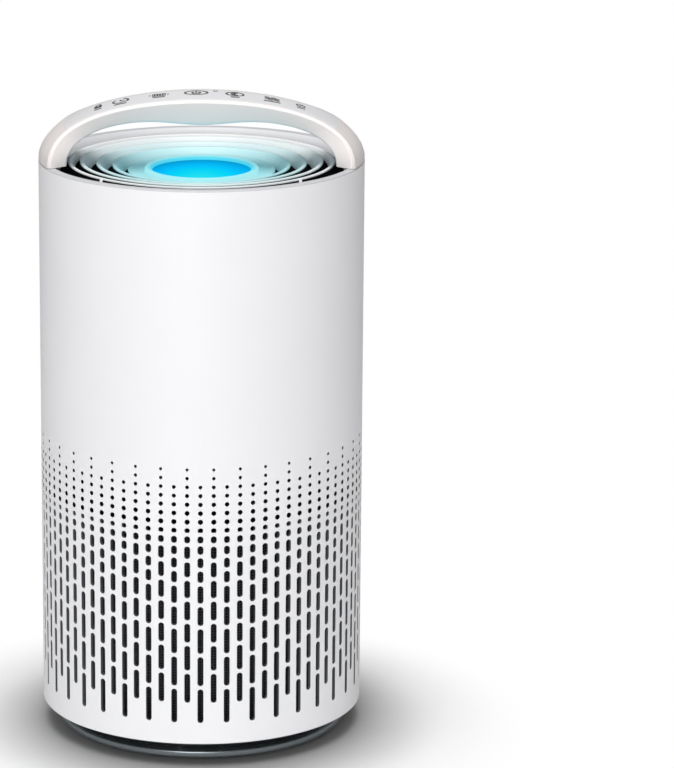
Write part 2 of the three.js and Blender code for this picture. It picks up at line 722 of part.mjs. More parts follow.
// Base: cover with three bayonet lugs, silver ring and four feet
function buildBase() {
  const cover = asSolid(revolve([
    [0, baseFloor], [83.9, baseFloor], [83.9, 6], [88.6, 6], [plugRadius, 12],
    [plugRadius, plugTop], [plugRadius - plugWall, plugTop], [plugRadius - plugWall, 9],
    [62, 9], [62, filterFoot - gap], [0, filterFoot - gap],
  ], baseSides));
  lugAngles.forEach((angle, k) => {
    const lug = sector(plugRadius + gap, lugReach, lugLevel, lugLevel + lugThickness, angle,
      lugHalfAngle);
    add(`bayonet_lug_${k + 1}`, lug, 'darkPlastic');
  });
  const pocket = new THREE.Shape();
  pocket.absarc(0, 0, pocketRadius, 0.42, Math.PI - 0.42, false);
  const pocketCut = (turn) => asSolid(weld(new THREE.ExtrudeGeometry(pocket, {
    depth: 10, bevelEnabled: false, curveSegments: 6,
  }).translate(0, 0, 1).rotateZ(turn)));
  add('base_cover', asGeometry(cover.subtract(pocketCut(0)).subtract(pocketCut(Math.PI))),
    'darkPlastic');
  add('base_ring', revolve([
    [84.2, 2.2], [89.2, 2.2], [baseRadius, 3.8], [88.8, 5.7], [84.2, 5.7],
  ], baseSides), 'silverPlastic');
  const foot = disc(footRadius, 0, footHeight, 12);
  [45, 135, 225, 315].forEach((angle, k) => {
    const turn = THREE.MathUtils.degToRad(angle);
    const pad = add(`foot_${k + 1}`, foot.clone(), 'rubber');
    pad.position.set(footCircle * Math.sin(turn), -footCircle * Math.cos(turn), 0);
  });
}

buildCasing();
buildHandle();
buildGrille();
buildLight();
buildDeck();
buildVanes();
buildImpeller();
buildMotor();
buildElectronics();
buildFrame();
buildInlet();
buildLeads();
buildFilter();
buildBase();

export default model;
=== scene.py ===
import math
import bmesh
import bpy
import numpy as np
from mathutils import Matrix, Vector


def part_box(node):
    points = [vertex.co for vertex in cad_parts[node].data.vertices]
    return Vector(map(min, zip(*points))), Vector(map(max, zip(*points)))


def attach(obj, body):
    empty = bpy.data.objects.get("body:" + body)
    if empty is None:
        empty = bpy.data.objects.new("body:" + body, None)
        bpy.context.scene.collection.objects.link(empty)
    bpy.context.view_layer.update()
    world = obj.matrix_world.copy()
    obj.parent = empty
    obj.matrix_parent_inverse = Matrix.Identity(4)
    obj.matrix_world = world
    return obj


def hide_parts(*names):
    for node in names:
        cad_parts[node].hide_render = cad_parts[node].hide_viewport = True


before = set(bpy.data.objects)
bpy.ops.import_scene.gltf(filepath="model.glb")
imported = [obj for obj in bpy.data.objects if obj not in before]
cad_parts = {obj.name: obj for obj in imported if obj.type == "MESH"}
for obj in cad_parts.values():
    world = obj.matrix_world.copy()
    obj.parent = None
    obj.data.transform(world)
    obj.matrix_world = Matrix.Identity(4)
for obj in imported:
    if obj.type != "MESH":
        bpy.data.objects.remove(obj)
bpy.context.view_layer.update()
print("frame loaded:", len(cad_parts), "CAD nodes")

mm = 0.001
tiny = 0.001                  # mm: places closer than this count as one
casingLow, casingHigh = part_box("outer_casing")
casingRadius = -casingLow.y / mm
casingFoot = casingLow.z / mm
rimLevel = casingHigh.z / mm


# camera, floor and light

cameraLook = {
    "distance": 2.459,        # metres from the tower's axis, level with the floor
    "height": 0.8656,
    "bearing": 0.4,           # degrees round from the front
    "tilt": 14.79,            # degrees below level
    "lens": 191.64,
    "shiftX": 0.1763,
}


def addObject(name, data):
    thing = bpy.data.objects.new(name, data)
    bpy.context.scene.collection.objects.link(thing)
    return thing


def setCamera():
    bearing = math.radians(cameraLook["bearing"])
    data = bpy.data.cameras.new("camera")
    data.lens = cameraLook["lens"]
    data.sensor_width = 36
    data.shift_x = cameraLook["shiftX"]
    data.clip_end = 100
    camera = addObject("camera", data)
    away = cameraLook["distance"]
    camera.location = (away * math.sin(bearing), -away * math.cos(bearing), cameraLook["height"])
    camera.rotation_euler = (math.radians(90 - cameraLook["tilt"]), 0, bearing)
    bpy.context.scene.camera = camera
    bpy.context.scene.view_settings.view_transform = "Standard"


def toLinear(hexColour):
    channels = [int(hexColour[i:i + 2], 16) / 255 for i in (1, 3, 5)]
    return tuple(c / 12.92 if c <= 0.04045 else ((c + 0.055) / 1.055) ** 2.4 for c in channels) + (1,)


def addNode(tree, kind, settings=None, **inputs):
    # an input takes a value, a hex colour, a socket, or a node that gives its first output in use;
    # i0, i1 and so on are inputs by number
    node = tree.nodes.new("ShaderNode" + kind)
    for name, value in (settings or {}).items():
        setattr(node, name, value)
    for name, value in inputs.items():
        key = int(name[1:]) if name[0] == "i" and name[1:].isdigit() else name.replace("_", " ")
        if isinstance(value, bpy.types.Node):
            value = next(output for output in value.outputs if output.enabled)
        if isinstance(value, bpy.types.NodeSocket):
            tree.links.new(value, node.inputs[key])
        else:
            node.inputs[key].default_value = toLinear(value) if isinstance(value, str) else value
    return node


def emptyTree(owner):
    owner.use_nodes = True
    owner.node_tree.nodes.clear()
    return owner.node_tree


# settings that several nodes share
inColour = {"data_type": "RGBA"}
eased = {"interpolation_type": "SMOOTHSTEP"}
scaled = {"operation": "SCALE"}
times = {"operation": "MULTIPLY"}
lengthOf = {"operation": "LENGTH"}

studio = {
    "world": 0.30,            # even light from all round
    "front": 70, "frontSize": 2.4, "frontPlace": (-0.55, -4.0, 1.0),
    "top": 61, "topSize": 2.0, "topPlace": (-0.1, -0.7, 3.0),
    "aimHeight": 0.2,
    "floorReach": 12,         # metres each way
    "floorColour": "#dcdcdc",
    "mottles": 900, "mottle": 0.015,    # soft spots from side to side of the floor, and their strength
    "floorSeen": 1.28,        # how much paler the camera sees the floor than it lights the object
    "fadeFrom": 0.12, "fadeTo": 0.215,  # metres from the painted shadow's middle, where the floor runs out
    "shadeFrom": 0.068, "shadeTo": 0.16, "shade": 0.33,    # painted shadow: the deeper tone close round the base
    "shadeAt": -0.02,         # the painted shadow's middle lies this far in front of the axis
}


def lightStudio():
    world = bpy.data.worlds.new("studio")
    tree = emptyTree(world)
    rays = addNode(tree, "LightPath")
    seen = addNode(tree, "Math", {"operation": "MAXIMUM"},
                   i0=rays.outputs["Is Camera Ray"], i1=rays.outputs["Is Transmission Ray"])
    level = addNode(tree, "MapRange", To_Min=studio["world"], To_Max=1.0, Value=seen)
    backdrop = addNode(tree, "Background", Strength=level, Color="#ffffff")
    addNode(tree, "OutputWorld", Surface=backdrop)
    bpy.context.scene.world = world
    for name in ("front", "top"):
        data = bpy.data.lights.new(name, "AREA")
        data.shape = "DISK"
        data.size = studio[name + "Size"]
        data.energy = studio[name]
        lamp = addObject(name, data)
        lamp.location = studio[name + "Place"]
        aim = Vector((0, 0, studio["aimHeight"])) - lamp.location
        lamp.rotation_euler = aim.to_track_quat("-Z", "Y").to_euler()


def paperFloor():
    # satin paper: it takes the object's shadow, and close round the base the camera also sees a painted
    # shadow; further off it runs out into the white backdrop
    material = bpy.data.materials.new("paper_floor")
    tree = emptyTree(material)
    grain = addNode(tree, "TexNoise", Scale=studio["mottles"], Detail=2.0)
    level = addNode(tree, "MapRange", Value=grain, To_Min=1 - studio["mottle"],
                    To_Max=1 + studio["mottle"])
    tone = addNode(tree, "VectorMath", scaled, i0=toLinear(studio["floorColour"])[:3], Scale=level)
    byCamera = addNode(tree, "LightPath").outputs["Is Camera Ray"]
    seen = addNode(tree, "MapRange", Value=byCamera, To_Min=1.0, To_Max=studio["floorSeen"])
    shown = addNode(tree, "VectorMath", scaled, i0=tone, Scale=seen)
    place = addNode(tree, "TexCoord").outputs["Object"]
    # painted shadow, for the camera only: darker close round the base
    fromMiddle = addNode(tree, "VectorMath", {"operation": "SUBTRACT"}, i0=place,
                         i1=(0, studio["shadeAt"], 0))
    away = addNode(tree, "VectorMath", lengthOf, i0=fromMiddle)
    paintedShadow = addNode(tree, "MapRange", eased, Value=away, From_Min=studio["shadeFrom"],
                    From_Max=studio["shadeTo"], To_Min=studio["shade"], To_Max=1.0)
    depth = addNode(tree, "Mix", Factor=byCamera, A=1.0, B=paintedShadow)
    paintedShadowTone = addNode(tree, "VectorMath", scaled, i0=shown, Scale=depth)
    paper = addNode(tree, "BsdfDiffuse", Color=paintedShadowTone)
    fade = addNode(tree, "MapRange", eased, Value=away, From_Min=studio["fadeFrom"],
                   From_Max=studio["fadeTo"])
    far = addNode(tree, "Math", times, i0=fade, i1=byCamera)
    white = addNode(tree, "Emission", Strength=1.0, Color="#ffffff")
    both = addNode(tree, "MixShader", i0=far, i1=paper, i2=white)
    addNode(tree, "OutputMaterial", Surface=both)
    return material


def layFloor():
    reach = studio["floorReach"]
    mesh = bpy.data.meshes.new("floor")
    corners = [(-reach, -reach, 0), (reach, -reach, 0), (reach, reach, 0), (-reach, reach, 0)]
    mesh.from_pydata(corners, [], [(0, 1, 2, 3)])
    mesh.materials.append(paperFloor())
    floor = addObject("floor", mesh)


setCamera()
lightStudio()
layFloor()
print("camera, floor and light are set")


# shapes: each is (points in mm, faces), with a finish number for each face where they differ

def editMesh(mesh, edit):
    work = bmesh.new()
    work.from_mesh(mesh)
    edit(work)
    work.to_mesh(mesh)
    work.free()


def meshOf(name, shape, recalc=True):
    mesh = bpy.data.meshes.new(name)
    mesh.from_pydata([(x * mm, y * mm, z * mm) for x, y, z in shape[0]], [], shape[1])
    if recalc:
        editMesh(mesh, lambda work: bmesh.ops.recalc_face_normals(work, faces=work.faces))
    return mesh


def makePiece(name, shape, finish, body, replaces=(), sharpAngle=32, recalc=True):
    # finish is a material, or a list of them that the face's number picks from
    mesh = meshOf(name, shape, recalc)
    for material in finish if isinstance(finish, list) else [finish]:
        mesh.materials.append(material)
    if len(shape) > 2:
        mesh.polygons.foreach_set("material_index", shape[2])
    mesh.shade_smooth()
    mesh.set_sharp_from_angle(angle=math.radians(sharpAngle))
    piece = addObject(name, mesh)
    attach(piece, body)
    if replaces:
        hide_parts(*replaces)
    return piece


def joinShapes(*shapes):
    points, faces = [], []
    for shape in shapes:
        shift = len(points)
        points += list(shape[0])
        faces += [tuple(k + shift for k in face) for face in shape[1]]
    return points, faces


def rounded(corners, steps=4):
    # corners are (point, fillet radius); each fillet becomes an arc, on at most half of a side
    outline = []
    for i, (place, fillet) in enumerate(corners):
        here = Vector(place)
        if not fillet:
            outline.append(tuple(here))
            continue
        toLast = Vector(corners[i - 1][0]) - here
        toNext = Vector(corners[(i + 1) % len(corners)][0]) - here
        half = toLast.angle(toNext) / 2
        reach = min(fillet / math.tan(half), 0.49 * toLast.length, 0.49 * toNext.length)
        start, end = toLast.normalized() * reach, toNext.normalized() * reach
        centre = (start + end) / (2 * math.cos(half) ** 2)
        spokeA, spokeB = start - centre, end - centre
        sweep = spokeA.angle(spokeB)
        for k in range(steps + 1):
            t = k / steps
            spoke = (spokeA * math.sin((1 - t) * sweep) + spokeB * math.sin(t * sweep)) / math.sin(sweep)
            outline.append(tuple(here + centre + spoke))
    return outline


def turned(profile, segments=160):
    # revolves a closed (radius, height) outline round Z
    points, rings = [], []
    for radius, height in profile:
        if radius < tiny:
            rings.append([len(points)] * segments)
            points.append((0, 0, height))
            continue
        rings.append(list(range(len(points), len(points) + segments)))
        for k in range(segments):
            turn = 2 * math.pi * k / segments
            points.append((radius * math.sin(turn), -radius * math.cos(turn), height))
    faces = []
    for ring, following in zip(rings, rings[1:] + rings[:1]):
        for k in range(segments):
            after = (k + 1) % segments
            face = list(dict.fromkeys((ring[k], ring[after], following[after], following[k])))
            if len(face) > 2:
                faces.append(tuple(face))
    return points, faces


def turnedPart(corners, segments=160, steps=4):
    return turned(rounded([((r, z), fillet) for r, z, fillet in corners], steps), segments)


def tube(outer, inner, low, high, lowFillet, highFillet, segments=160):
    return turnedPart([(outer, low, lowFillet), (outer, high, highFillet), (inner, high, highFillet),
                       (inner, low, lowFillet)], segments)


def loft(sections):
    count = len(sections[0])
    points = [tuple(point) for section in sections for point in section]
    faces = []
    for s in range(len(sections) - 1):
        for k in range(count):
            after = (k + 1) % count
            faces.append((s * count + k, s * count + after, (s + 1) * count + after, (s + 1) * count + k))
    last = (len(sections) - 1) * count
    faces.append(tuple(reversed(range(count))))
    faces.append(tuple(range(last, last + count)))
    return points, faces


def prism(outline, low, high):
    # an upright block over a flat (x, y) outline
    return loft([[(x, y, z) for x, y in outline] for z in (low, high)])


def boxShape(low, high):
    (x0, y0, z0), (x1, y1, z1) = low, high
    return prism([(x0, y0), (x1, y0), (x1, y1), (x0, y1)], z0, z1)


def polar(radius, angle, height):
    turn = math.radians(angle)
    return radius * math.sin(turn), -radius * math.cos(turn), height


def sectorBlock(near, far, low, high, middle, half, steps=8):
    angles = [middle - half + 2 * half * k / steps for k in range(steps + 1)]
    outline = [polar(far, angle, 0)[:2] for angle in angles]
    outline += [polar(near, angle, 0)[:2] for angle in reversed(angles)]
    return prism(outline, low, high)


def plateAt(outline, thickness, angle):
    # a plate standing in the radial plane, outlined by (radius, height)
    turn = math.radians(angle)
    across = Vector((math.cos(turn), math.sin(turn), 0)) * thickness / 2
    middle = [Vector(polar(radius, angle, height)) for radius, height in outline]
    return loft([[point - across for point in middle], [point + across for point in middle]])


def moved(shape, x=0, y=0):
    return [(px + x, py + y, pz) for px, py, pz in shape[0]], shape[1]


# finishes

def newFinish(name):
    material = bpy.data.materials.new(name)
    tree = emptyTree(material)
    return material, tree, addNode(tree, "TexCoord").outputs["Object"]


def closeFinish(material, **inputs):
    shader = addNode(material.node_tree, "BsdfPrincipled", **inputs)
    addNode(material.node_tree, "OutputMaterial", Surface=shader)
    return material


def perSize(sizeInMm):
    # texture scale that repeats about once in that many millimetres
    return 1000 / sizeInMm


def awayFrom(tree, place, x=0, y=0, narrow=1):
    # how far a place is from the upright line through x and y, in mm
    flat = addNode(tree, "Mapping", {"vector_type": "POINT"}, Vector=place, Location=(-x * mm, -y * mm, 0),
                   Scale=(narrow, 1, 0))
    return addNode(tree, "VectorMath", lengthOf, i0=flat)


def mouldedPlastic(name, look):
    # ABS from a spark-eroded tool: a fine even grain that softens the highlight,
    # with faint cloudiness where the melt met
    material, tree, place = newFinish(name)
    grain = addNode(tree, "TexNoise", Vector=place, Scale=perSize(look["grain"]), Detail=3.0, Roughness=0.6)
    cloud = addNode(tree, "TexNoise", Vector=place, Scale=perSize(look["cloud"]), Detail=2.0)
    tone = addNode(tree, "Mix", inColour, Factor=cloud, A=look["deep"], B=look["pale"])
    rough = addNode(tree, "MapRange", Value=grain, To_Min=look["roughness"] - 0.05,
                    To_Max=look["roughness"] + 0.05)
    relief = addNode(tree, "Bump", Height=grain, Strength=look["relief"], Distance=0.0002)
    return closeFinish(material, Base_Color=tone, Roughness=rough, Normal=relief, IOR=1.53)


# grain is about 0.1 mm on the real tower; it is drawn coarser so that it shows
# the casing: satin, with a soft broad highlight down the tower
whiteShell = mouldedPlastic("white_abs_satin_moulded", {
    "pale": "#f6f6f8", "deep": "#f2f2f5", "grain": 0.9, "cloud": 60, "roughness": 0.42, "relief": 0.12})
# the broken edges of its holes and the slope inside its rim: smooth but duller
whiteInside = mouldedPlastic("white_abs_smooth_moulded", {
    "pale": "#ebebed", "deep": "#e6e6e9", "grain": 3, "cloud": 40, "roughness": 0.5, "relief": 0.05})
# the slots' own walls are painted a dark grey as shade, so that they read as deep even seen from the side
slotWallPaintedShade = mouldedPlastic("white_abs_slot_walls_painted_shade", {
    "pale": "#5c5d60", "deep": "#505154", "grain": 2, "cloud": 40, "roughness": 0.6, "relief": 0.05})
# the rim: fine matt white plastic painted grey as shade, so it stays a quiet grey between the casing and the
# louvres
rimPaintedShade = mouldedPlastic("white_abs_rim_painted_shade", {
    "pale": "#c8c8cb", "deep": "#c4c4c7", "grain": 1.0, "cloud": 40, "roughness": 0.55, "relief": 0.1})
# the handle: fine matt pale grey, with a warm tint painted in to cancel the cyan light from the lens, and a
# wide even sheen
greyHandle = mouldedPlastic("pale_grey_abs_fine_matt", {
    "pale": "#eae4e2", "deep": "#e6e0de", "grain": 0.9, "cloud": 40, "roughness": 0.4, "relief": 0.12})
# the handle's underside and the fan wheel: matt and plain
greyTrim = mouldedPlastic("pale_grey_abs_underside", {
    "pale": "#dcdcdf", "deep": "#d6d6da", "grain": 1.1, "cloud": 30, "roughness": 0.52, "relief": 0.2})
# the inner frame in black ABS; the casing's inner wall takes the same black as painted shade, so it shows
# dark between louvres and behind slots
blackAbsAndPaintedShade = mouldedPlastic("black_abs_moulded_and_painted_shade", {
    "pale": "#26282b", "deep": "#1d1e21", "grain": 1.0, "cloud": 25, "roughness": 0.5, "relief": 0.25})
# the base: a coarse spark finish that hardly shines
darkBase = mouldedPlastic("charcoal_abs_spark_eroded", {
    "pale": "#424548", "deep": "#37393c", "grain": 0.8, "cloud": 30, "roughness": 0.58, "relief": 0.35})


def touchFilm():
    # hard-coated clear film over grey print: smoother than the handle, a crisper reflection
    material, tree, place = newFinish("touch_film_hard_coated")
    ripple = addNode(tree, "TexNoise", Vector=place, Scale=perSize(18), Detail=1.0)
    tone = addNode(tree, "Mix", inColour, Factor=ripple, A="#e6e6e8", B="#eaeaec")
    relief = addNode(tree, "Bump", Height=ripple, Strength=0.04, Distance=0.0004)
    return closeFinish(material, Base_Color=tone, Roughness=0.34, Normal=relief, Coat_Weight=0.25,
                       Coat_Roughness=0.2, IOR=1.5)


def printedInk():
    # screen-printed ink: slightly uneven cover
    material, tree, place = newFinish("grey_ink_screen_printed")
    cover = addNode(tree, "TexNoise", Vector=place, Scale=perSize(0.8), Detail=2.0)
    tone = addNode(tree, "Mix", inColour, Factor=cover, A="#26272a", B="#36373a")
    return closeFinish(material, Base_Color=tone, Roughness=0.45)


# plain is the louvres' own colour; lit and glow are painted light from the lens, under is painted shade
louvreLook = {
    "plain": "#f2f2f2", "lit": "#9fd4d8", "under": "#17181b",
    "glow": "#7defff", "glowStrength": 0.15,
    "glowAt": -5,                   # mm: the painted glow leans forward
    "glowFrom": 36, "glowTo": 90,   # mm from there, where it starts and ends
}


def louvresWithPaintedLight():
    # pale ABS with painted light: a cyan tint and a glow that spread outwards from the lens; the undersides
    # carry painted shade, so that the gaps between the rings read as deep
    material, tree, place = newFinish("pale_abs_louvres_painted_glow_and_shade")
    reach = awayFrom(tree, place, y=louvreLook["glowAt"])
    facing = addNode(tree, "TexCoord").outputs["Normal"]
    upright = addNode(tree, "SeparateXYZ", Vector=facing).outputs["Z"]
    under = addNode(tree, "MapRange", Value=upright, From_Min=-0.15, From_Max=-0.3)
    near = addNode(tree, "MapRange", eased, Value=reach, From_Min=louvreLook["glowFrom"] * mm,
                   From_Max=louvreLook["glowTo"] * mm, To_Min=1.0, To_Max=0.0)
    grain = addNode(tree, "TexNoise", Vector=place, Scale=perSize(0.9), Detail=3.0)
    tone = addNode(tree, "Mix", inColour, Factor=near, A=louvreLook["plain"], B=louvreLook["lit"])
    shaded = addNode(tree, "Mix", inColour, Factor=under, A=tone, B=louvreLook["under"])
    glow = addNode(tree, "Math", {"operation": "POWER"}, i0=near, i1=2.0)
    spill = addNode(tree, "MapRange", Value=under, To_Min=louvreLook["glowStrength"], To_Max=0.0)
    strength = addNode(tree, "Math", times, i0=glow, i1=spill)
    relief = addNode(tree, "Bump", Height=grain, Strength=0.1, Distance=0.0002)
    return closeFinish(material, Base_Color=shaded, Roughness=0.45, Normal=relief, IOR=1.53,
                       Emission_Color=louvreLook["glow"], Emission_Strength=strength)


lensLook = {
    "tones": [(0.0, "#26deec"), (0.4, "#07d4f3"), (0.62, "#03c4fb"), (0.8, "#06b0f0"), (1.0, "#0398cc")],
    "brightAt": -22, "reach": 52,         # mm: the lamps under the lens sit forward of its middle
    "narrow": 1.35,                       # the light falls off faster sideways
    "body": "#02222e",
}


def litLens():
    # frosted acrylic over blue and cyan lamps: brightest over the lamp, deeper towards the rim
    material, tree, place = newFinish("frosted_acrylic_lit_blue")
    reach = awayFrom(tree, place, y=lensLook["brightAt"], narrow=lensLook["narrow"])
    share = addNode(tree, "MapRange", Value=reach, From_Min=0.0, From_Max=lensLook["reach"] * mm)
    ramp = addNode(tree, "ValToRGB", Fac=share)
    stops = ramp.color_ramp.elements
    for position, colour in lensLook["tones"][1:-1]:
        stops.new(position)
    for stop, (position, colour) in zip(stops, lensLook["tones"]):
        stop.position = position
        stop.color = toLinear(colour)
    frost = addNode(tree, "TexNoise", Vector=place, Scale=perSize(1.5), Detail=2.0)
    relief = addNode(tree, "Bump", Height=frost, Strength=0.08, Distance=0.0003)
    return closeFinish(material, Base_Color=lensLook["body"], Roughness=0.4, Normal=relief, IOR=1.49,
                       Emission_Color=ramp, Emission_Strength=1.0, Specular_IOR_Level=0.0)


lipLook = {
    "inner": "#28b9d2", "outer": "#a8cecc", "body": "#3f8d93",
    "innerAt": 30.4, "outerAt": 35.2,     # mm from the axis
}


def litLip():
    # milky light guide: saturated beside the lens and washing out to white at its outer edge
    material, tree, place = newFinish("milky_acrylic_light_guide")
    out = addNode(tree, "MapRange", Value=awayFrom(tree, place), From_Min=lipLook["innerAt"] * mm,
                  From_Max=lipLook["outerAt"] * mm)
    tone = addNode(tree, "Mix", inColour, Factor=out, A=lipLook["inner"], B=lipLook["outer"])
    return closeFinish(material, Base_Color=lipLook["body"], Roughness=0.5, IOR=1.49,
                       Emission_Color=tone, Emission_Strength=1.0, Specular_IOR_Level=0.25)


def spunMetal(name, pale, deep, lineSize):
    # turned or circumferentially brushed metal: rings that draw the light into streaks,
    # wider apart than the tool leaves them, so that they show
    material, tree, place = newFinish(name)
    upright = addNode(tree, "SeparateXYZ", Vector=place).outputs["Z"]
    lines = addNode(tree, "CombineXYZ", X=awayFrom(tree, place), Y=upright)
    brush = addNode(tree, "TexNoise", Vector=lines, Scale=perSize(lineSize), Detail=3.0)
    tone = addNode(tree, "Mix", inColour, Factor=brush, A=deep, B=pale)
    rough = addNode(tree, "MapRange", Value=brush, To_Min=0.2, To_Max=0.36)
    relief = addNode(tree, "Bump", Height=brush, Strength=0.15, Distance=0.0001)
    return closeFinish(material, Base_Color=tone, Metallic=1.0, Roughness=rough, Normal=relief)


def speckled(name, look):
    # open-celled or granular stuff: foam, sintered metal, rubber, fibre paper; grains too fine
    # to show are drawn coarser
    material, tree, place = newFinish(name)
    if look.get("cells"):
        grain = addNode(tree, "TexVoronoi", Vector=place, Scale=perSize(look["size"]))
    else:
        grain = addNode(tree, "TexNoise", Vector=place, Scale=perSize(look["size"]), Detail=4.0)
    tone = addNode(tree, "Mix", inColour, Factor=grain, A=look["deep"], B=look["pale"])
    relief = addNode(tree, "Bump", Height=grain, Strength=look["relief"], Distance=0.0006)
    return closeFinish(material, Base_Color=tone, Metallic=look.get("metal", 0.0),
                       Roughness=look["roughness"], Normal=relief)


def knittedMesh():
    # dark polyester mesh over the filter: small open cells in rows round the drum
    material, tree, place = newFinish("dark_polyester_mesh_knitted")
    drumRadius = 81 * mm
    split = addNode(tree, "SeparateXYZ", Vector=place)
    turn = addNode(tree, "Math", {"operation": "ARCTAN2"}, i0=split.outputs["Y"], i1=split.outputs["X"])
    arc = addNode(tree, "Math", times, i0=turn, i1=drumRadius)
    sheet = addNode(tree, "CombineXYZ", X=arc, Y=split.outputs["Z"])
    cells = addNode(tree, "TexVoronoi", {"feature": "DISTANCE_TO_EDGE", "voronoi_dimensions": "2D"},
                    Vector=sheet, Scale=perSize(1.8), Randomness=0.25)
    thread = addNode(tree, "MapRange", eased, Value=cells, From_Min=0.08, From_Max=0.22, To_Min=1.0,
                     To_Max=0.0)
    tone = addNode(tree, "Mix", inColour, Factor=thread, A="#111214", B="#4a4d52")
    relief = addNode(tree, "Bump", Height=thread, Strength=0.7, Distance=0.0006)
    return closeFinish(material, Base_Color=tone, Roughness=0.85, Normal=relief, Sheen_Weight=0.2,
                       Sheen_Roughness=0.5)


def circuitBoard():
    # glass-epoxy board under green solder mask, with copper tracks that show as paler lines
    material, tree, place = newFinish("glass_epoxy_board_green_mask")
    tracks = addNode(tree, "TexBrick", {"offset": 0.35, "squash": 0.6}, Vector=place, Scale=perSize(9),
                     Mortar_Size=0.035, Mortar_Smooth=0.1, Color1="#14532d", Color2="#175a31",
                     Mortar="#3c8a55")
    relief = addNode(tree, "Bump", Height=tracks.outputs["Fac"], Strength=0.3, Distance=0.0001)
    return closeFinish(material, Base_Color=tracks, Roughness=0.35, Normal=relief, Coat_Weight=0.3)


def woundCopper():
    # enamelled copper wire wound in layers: close parallel turns with bright crowns
    material, tree, place = newFinish("enamelled_copper_wire_wound")
    turns = addNode(tree, "TexWave", {"bands_direction": "Z", "wave_profile": "SIN"}, Vector=place,
                    Scale=perSize(0.9) / math.tau, Distortion=0.6, Detail=1.0).outputs["Fac"]
    tone = addNode(tree, "Mix", inColour, Factor=turns, A="#5f2f14", B="#c9773a")
    relief = addNode(tree, "Bump", Height=turns, Strength=0.8, Distance=0.0003)
    return closeFinish(material, Base_Color=tone, Metallic=1.0, Roughness=0.32, Normal=relief,
                       Coat_Weight=0.4, Coat_Roughness=0.15)


# the silver ring and the motor draw the light into streaks; bronze shows oily pores and a dull gold;
# rubber and foam drink the light, wire keeps a faint sheen, and the paper is chalky
finishes = {
    "satin_silver": spunMetal("aluminium_trim_satin_brushed", "#878e92", "#747b7f", 0.35),
    "motor_steel": spunMetal("steel_turned", "#c2c4c7", "#94979b", 0.3),
    "bronze": speckled("bronze_sintered", {
        "size": 0.6, "pale": "#b58a4c", "deep": "#7d5c30", "relief": 0.3, "roughness": 0.4, "metal": 1.0}),
    "rubber": speckled("rubber_moulded_matt", {
        "size": 0.7, "pale": "#2a2b2d", "deep": "#1b1c1e", "relief": 0.3, "roughness": 0.8}),
    "wire": speckled("pvc_wire_insulation_extruded", {
        "size": 2.5, "pale": "#232427", "deep": "#17181a", "relief": 0.08, "roughness": 0.42}),
    "gasket": speckled("eva_foam_gasket_cut", {
        "cells": True, "size": 1.3, "pale": "#4c4e52", "deep": "#303236", "relief": 0.5, "roughness": 0.95}),
    "carbon": speckled("carbon_coated_foam", {
        "cells": True, "size": 2.2, "pale": "#2a2a2c", "deep": "#0d0d0e", "relief": 0.9, "roughness": 0.95}),
    "paper": speckled("glass_fibre_paper_pleated", {
        "size": 0.8, "pale": "#f0eee6", "deep": "#d9d6cb", "relief": 0.35, "roughness": 0.95}),
    "mesh": knittedMesh(),
    "board": circuitBoard(),
    "copper": woundCopper(),
    "touch": touchFilm(),
    "ink": printedInk(),
    "louvres": louvresWithPaintedLight(),
    "lens": litLens(),
    "lip": litLip(),
    "dark": blackAbsAndPaintedShade,
}
print("finishes made:", len(bpy.data.materials))


# perforated casing

casing = {
    "columns": 78,            # two kinds of column take turns round the shell
    "wall": 2.4,
    "slotWidth": 3.5,
    "bridge": 2.15,           # plastic left between two slots
    "long": {"foot": 13.7, "slots": [21.6, 18.5, 15.7, 12, 11, 7.2, 6.3, 5.4], "dots": 6},
    "short": {"foot": 26.7, "slots": [18.5, 15.7, 12, 12, 11, 9.5, 7.8], "dots": 8},
    "ovalAt": 130.4, "ovalLength": 4.4,
    "firstDot": 136.2, "dotPitch": 5.45, "dotWidth": 3.0, "dotFall": 0.22,
    "edgeBreak": 0.22,        # small bevel that the mould leaves round each hole
    "rimDrop": 2.6,           # how far the moulded rim stays below the frame's rim level
    "rimWidth": 4.8, "rimRound": 1.0, "footRound": 0.6,
    "rimShadeReach": 2,           # the rim's painted shade reaches this far down
    "bowlWidth": 8.6, "bowlDepth": 7.6, "rimDepth": 8, "rimSlope": 2.2,   # the rim's sloping inner side
    "socketHeight": 10, "socketRadius": 3.85,
    "bands": [0.58, 0.66, 0.74, 0.82, 0.9],   # shares of the height where plain wall is divided too
}
rimShown = rimLevel - casing["rimDrop"]
casingTop = rimShown - casingFoot
rimLow = casingTop - casing["rimDepth"] - casing["rimSlope"]


def holesInColumn(column):
    # (low, high, half width) of every hole, counted up from the casing's lower edge
    kind = casing["short" if column % 2 else "long"]
    half = casing["slotWidth"] / 2
    holes = []
    if column == casing["columns"] // 2:
        reach = casing["socketRadius"]
        holes.append((casing["socketHeight"] - reach, casing["socketHeight"] + reach, reach))
    low = kind["foot"]
    for length in kind["slots"]:
        holes.append((low, low + length, half))
        low += length + casing["bridge"]
    reach = casing["ovalLength"] / 2
    holes.append((casing["ovalAt"] - reach, casing["ovalAt"] + reach, half))
    for k in range(kind["dots"]):
        centre = casing["firstDot"] + k * casing["dotPitch"]
        half = (casing["dotWidth"] - k * casing["dotFall"]) / 2
        holes.append((centre - half, centre + half, half))
    return holes


def cellsOfColumn(holes):
    # the stretch of wall that belongs to each hole
    margin = casing["bridge"] / 2
    cells = []
    for i, (low, high, half) in enumerate(holes):
        under = holes[i - 1][1] if i else -math.inf
        over = holes[i + 1][0] if i + 1 < len(holes) else math.inf
        cells.append((max((under + low) / 2, low - margin), min((high + over) / 2, high + margin)))
    return cells


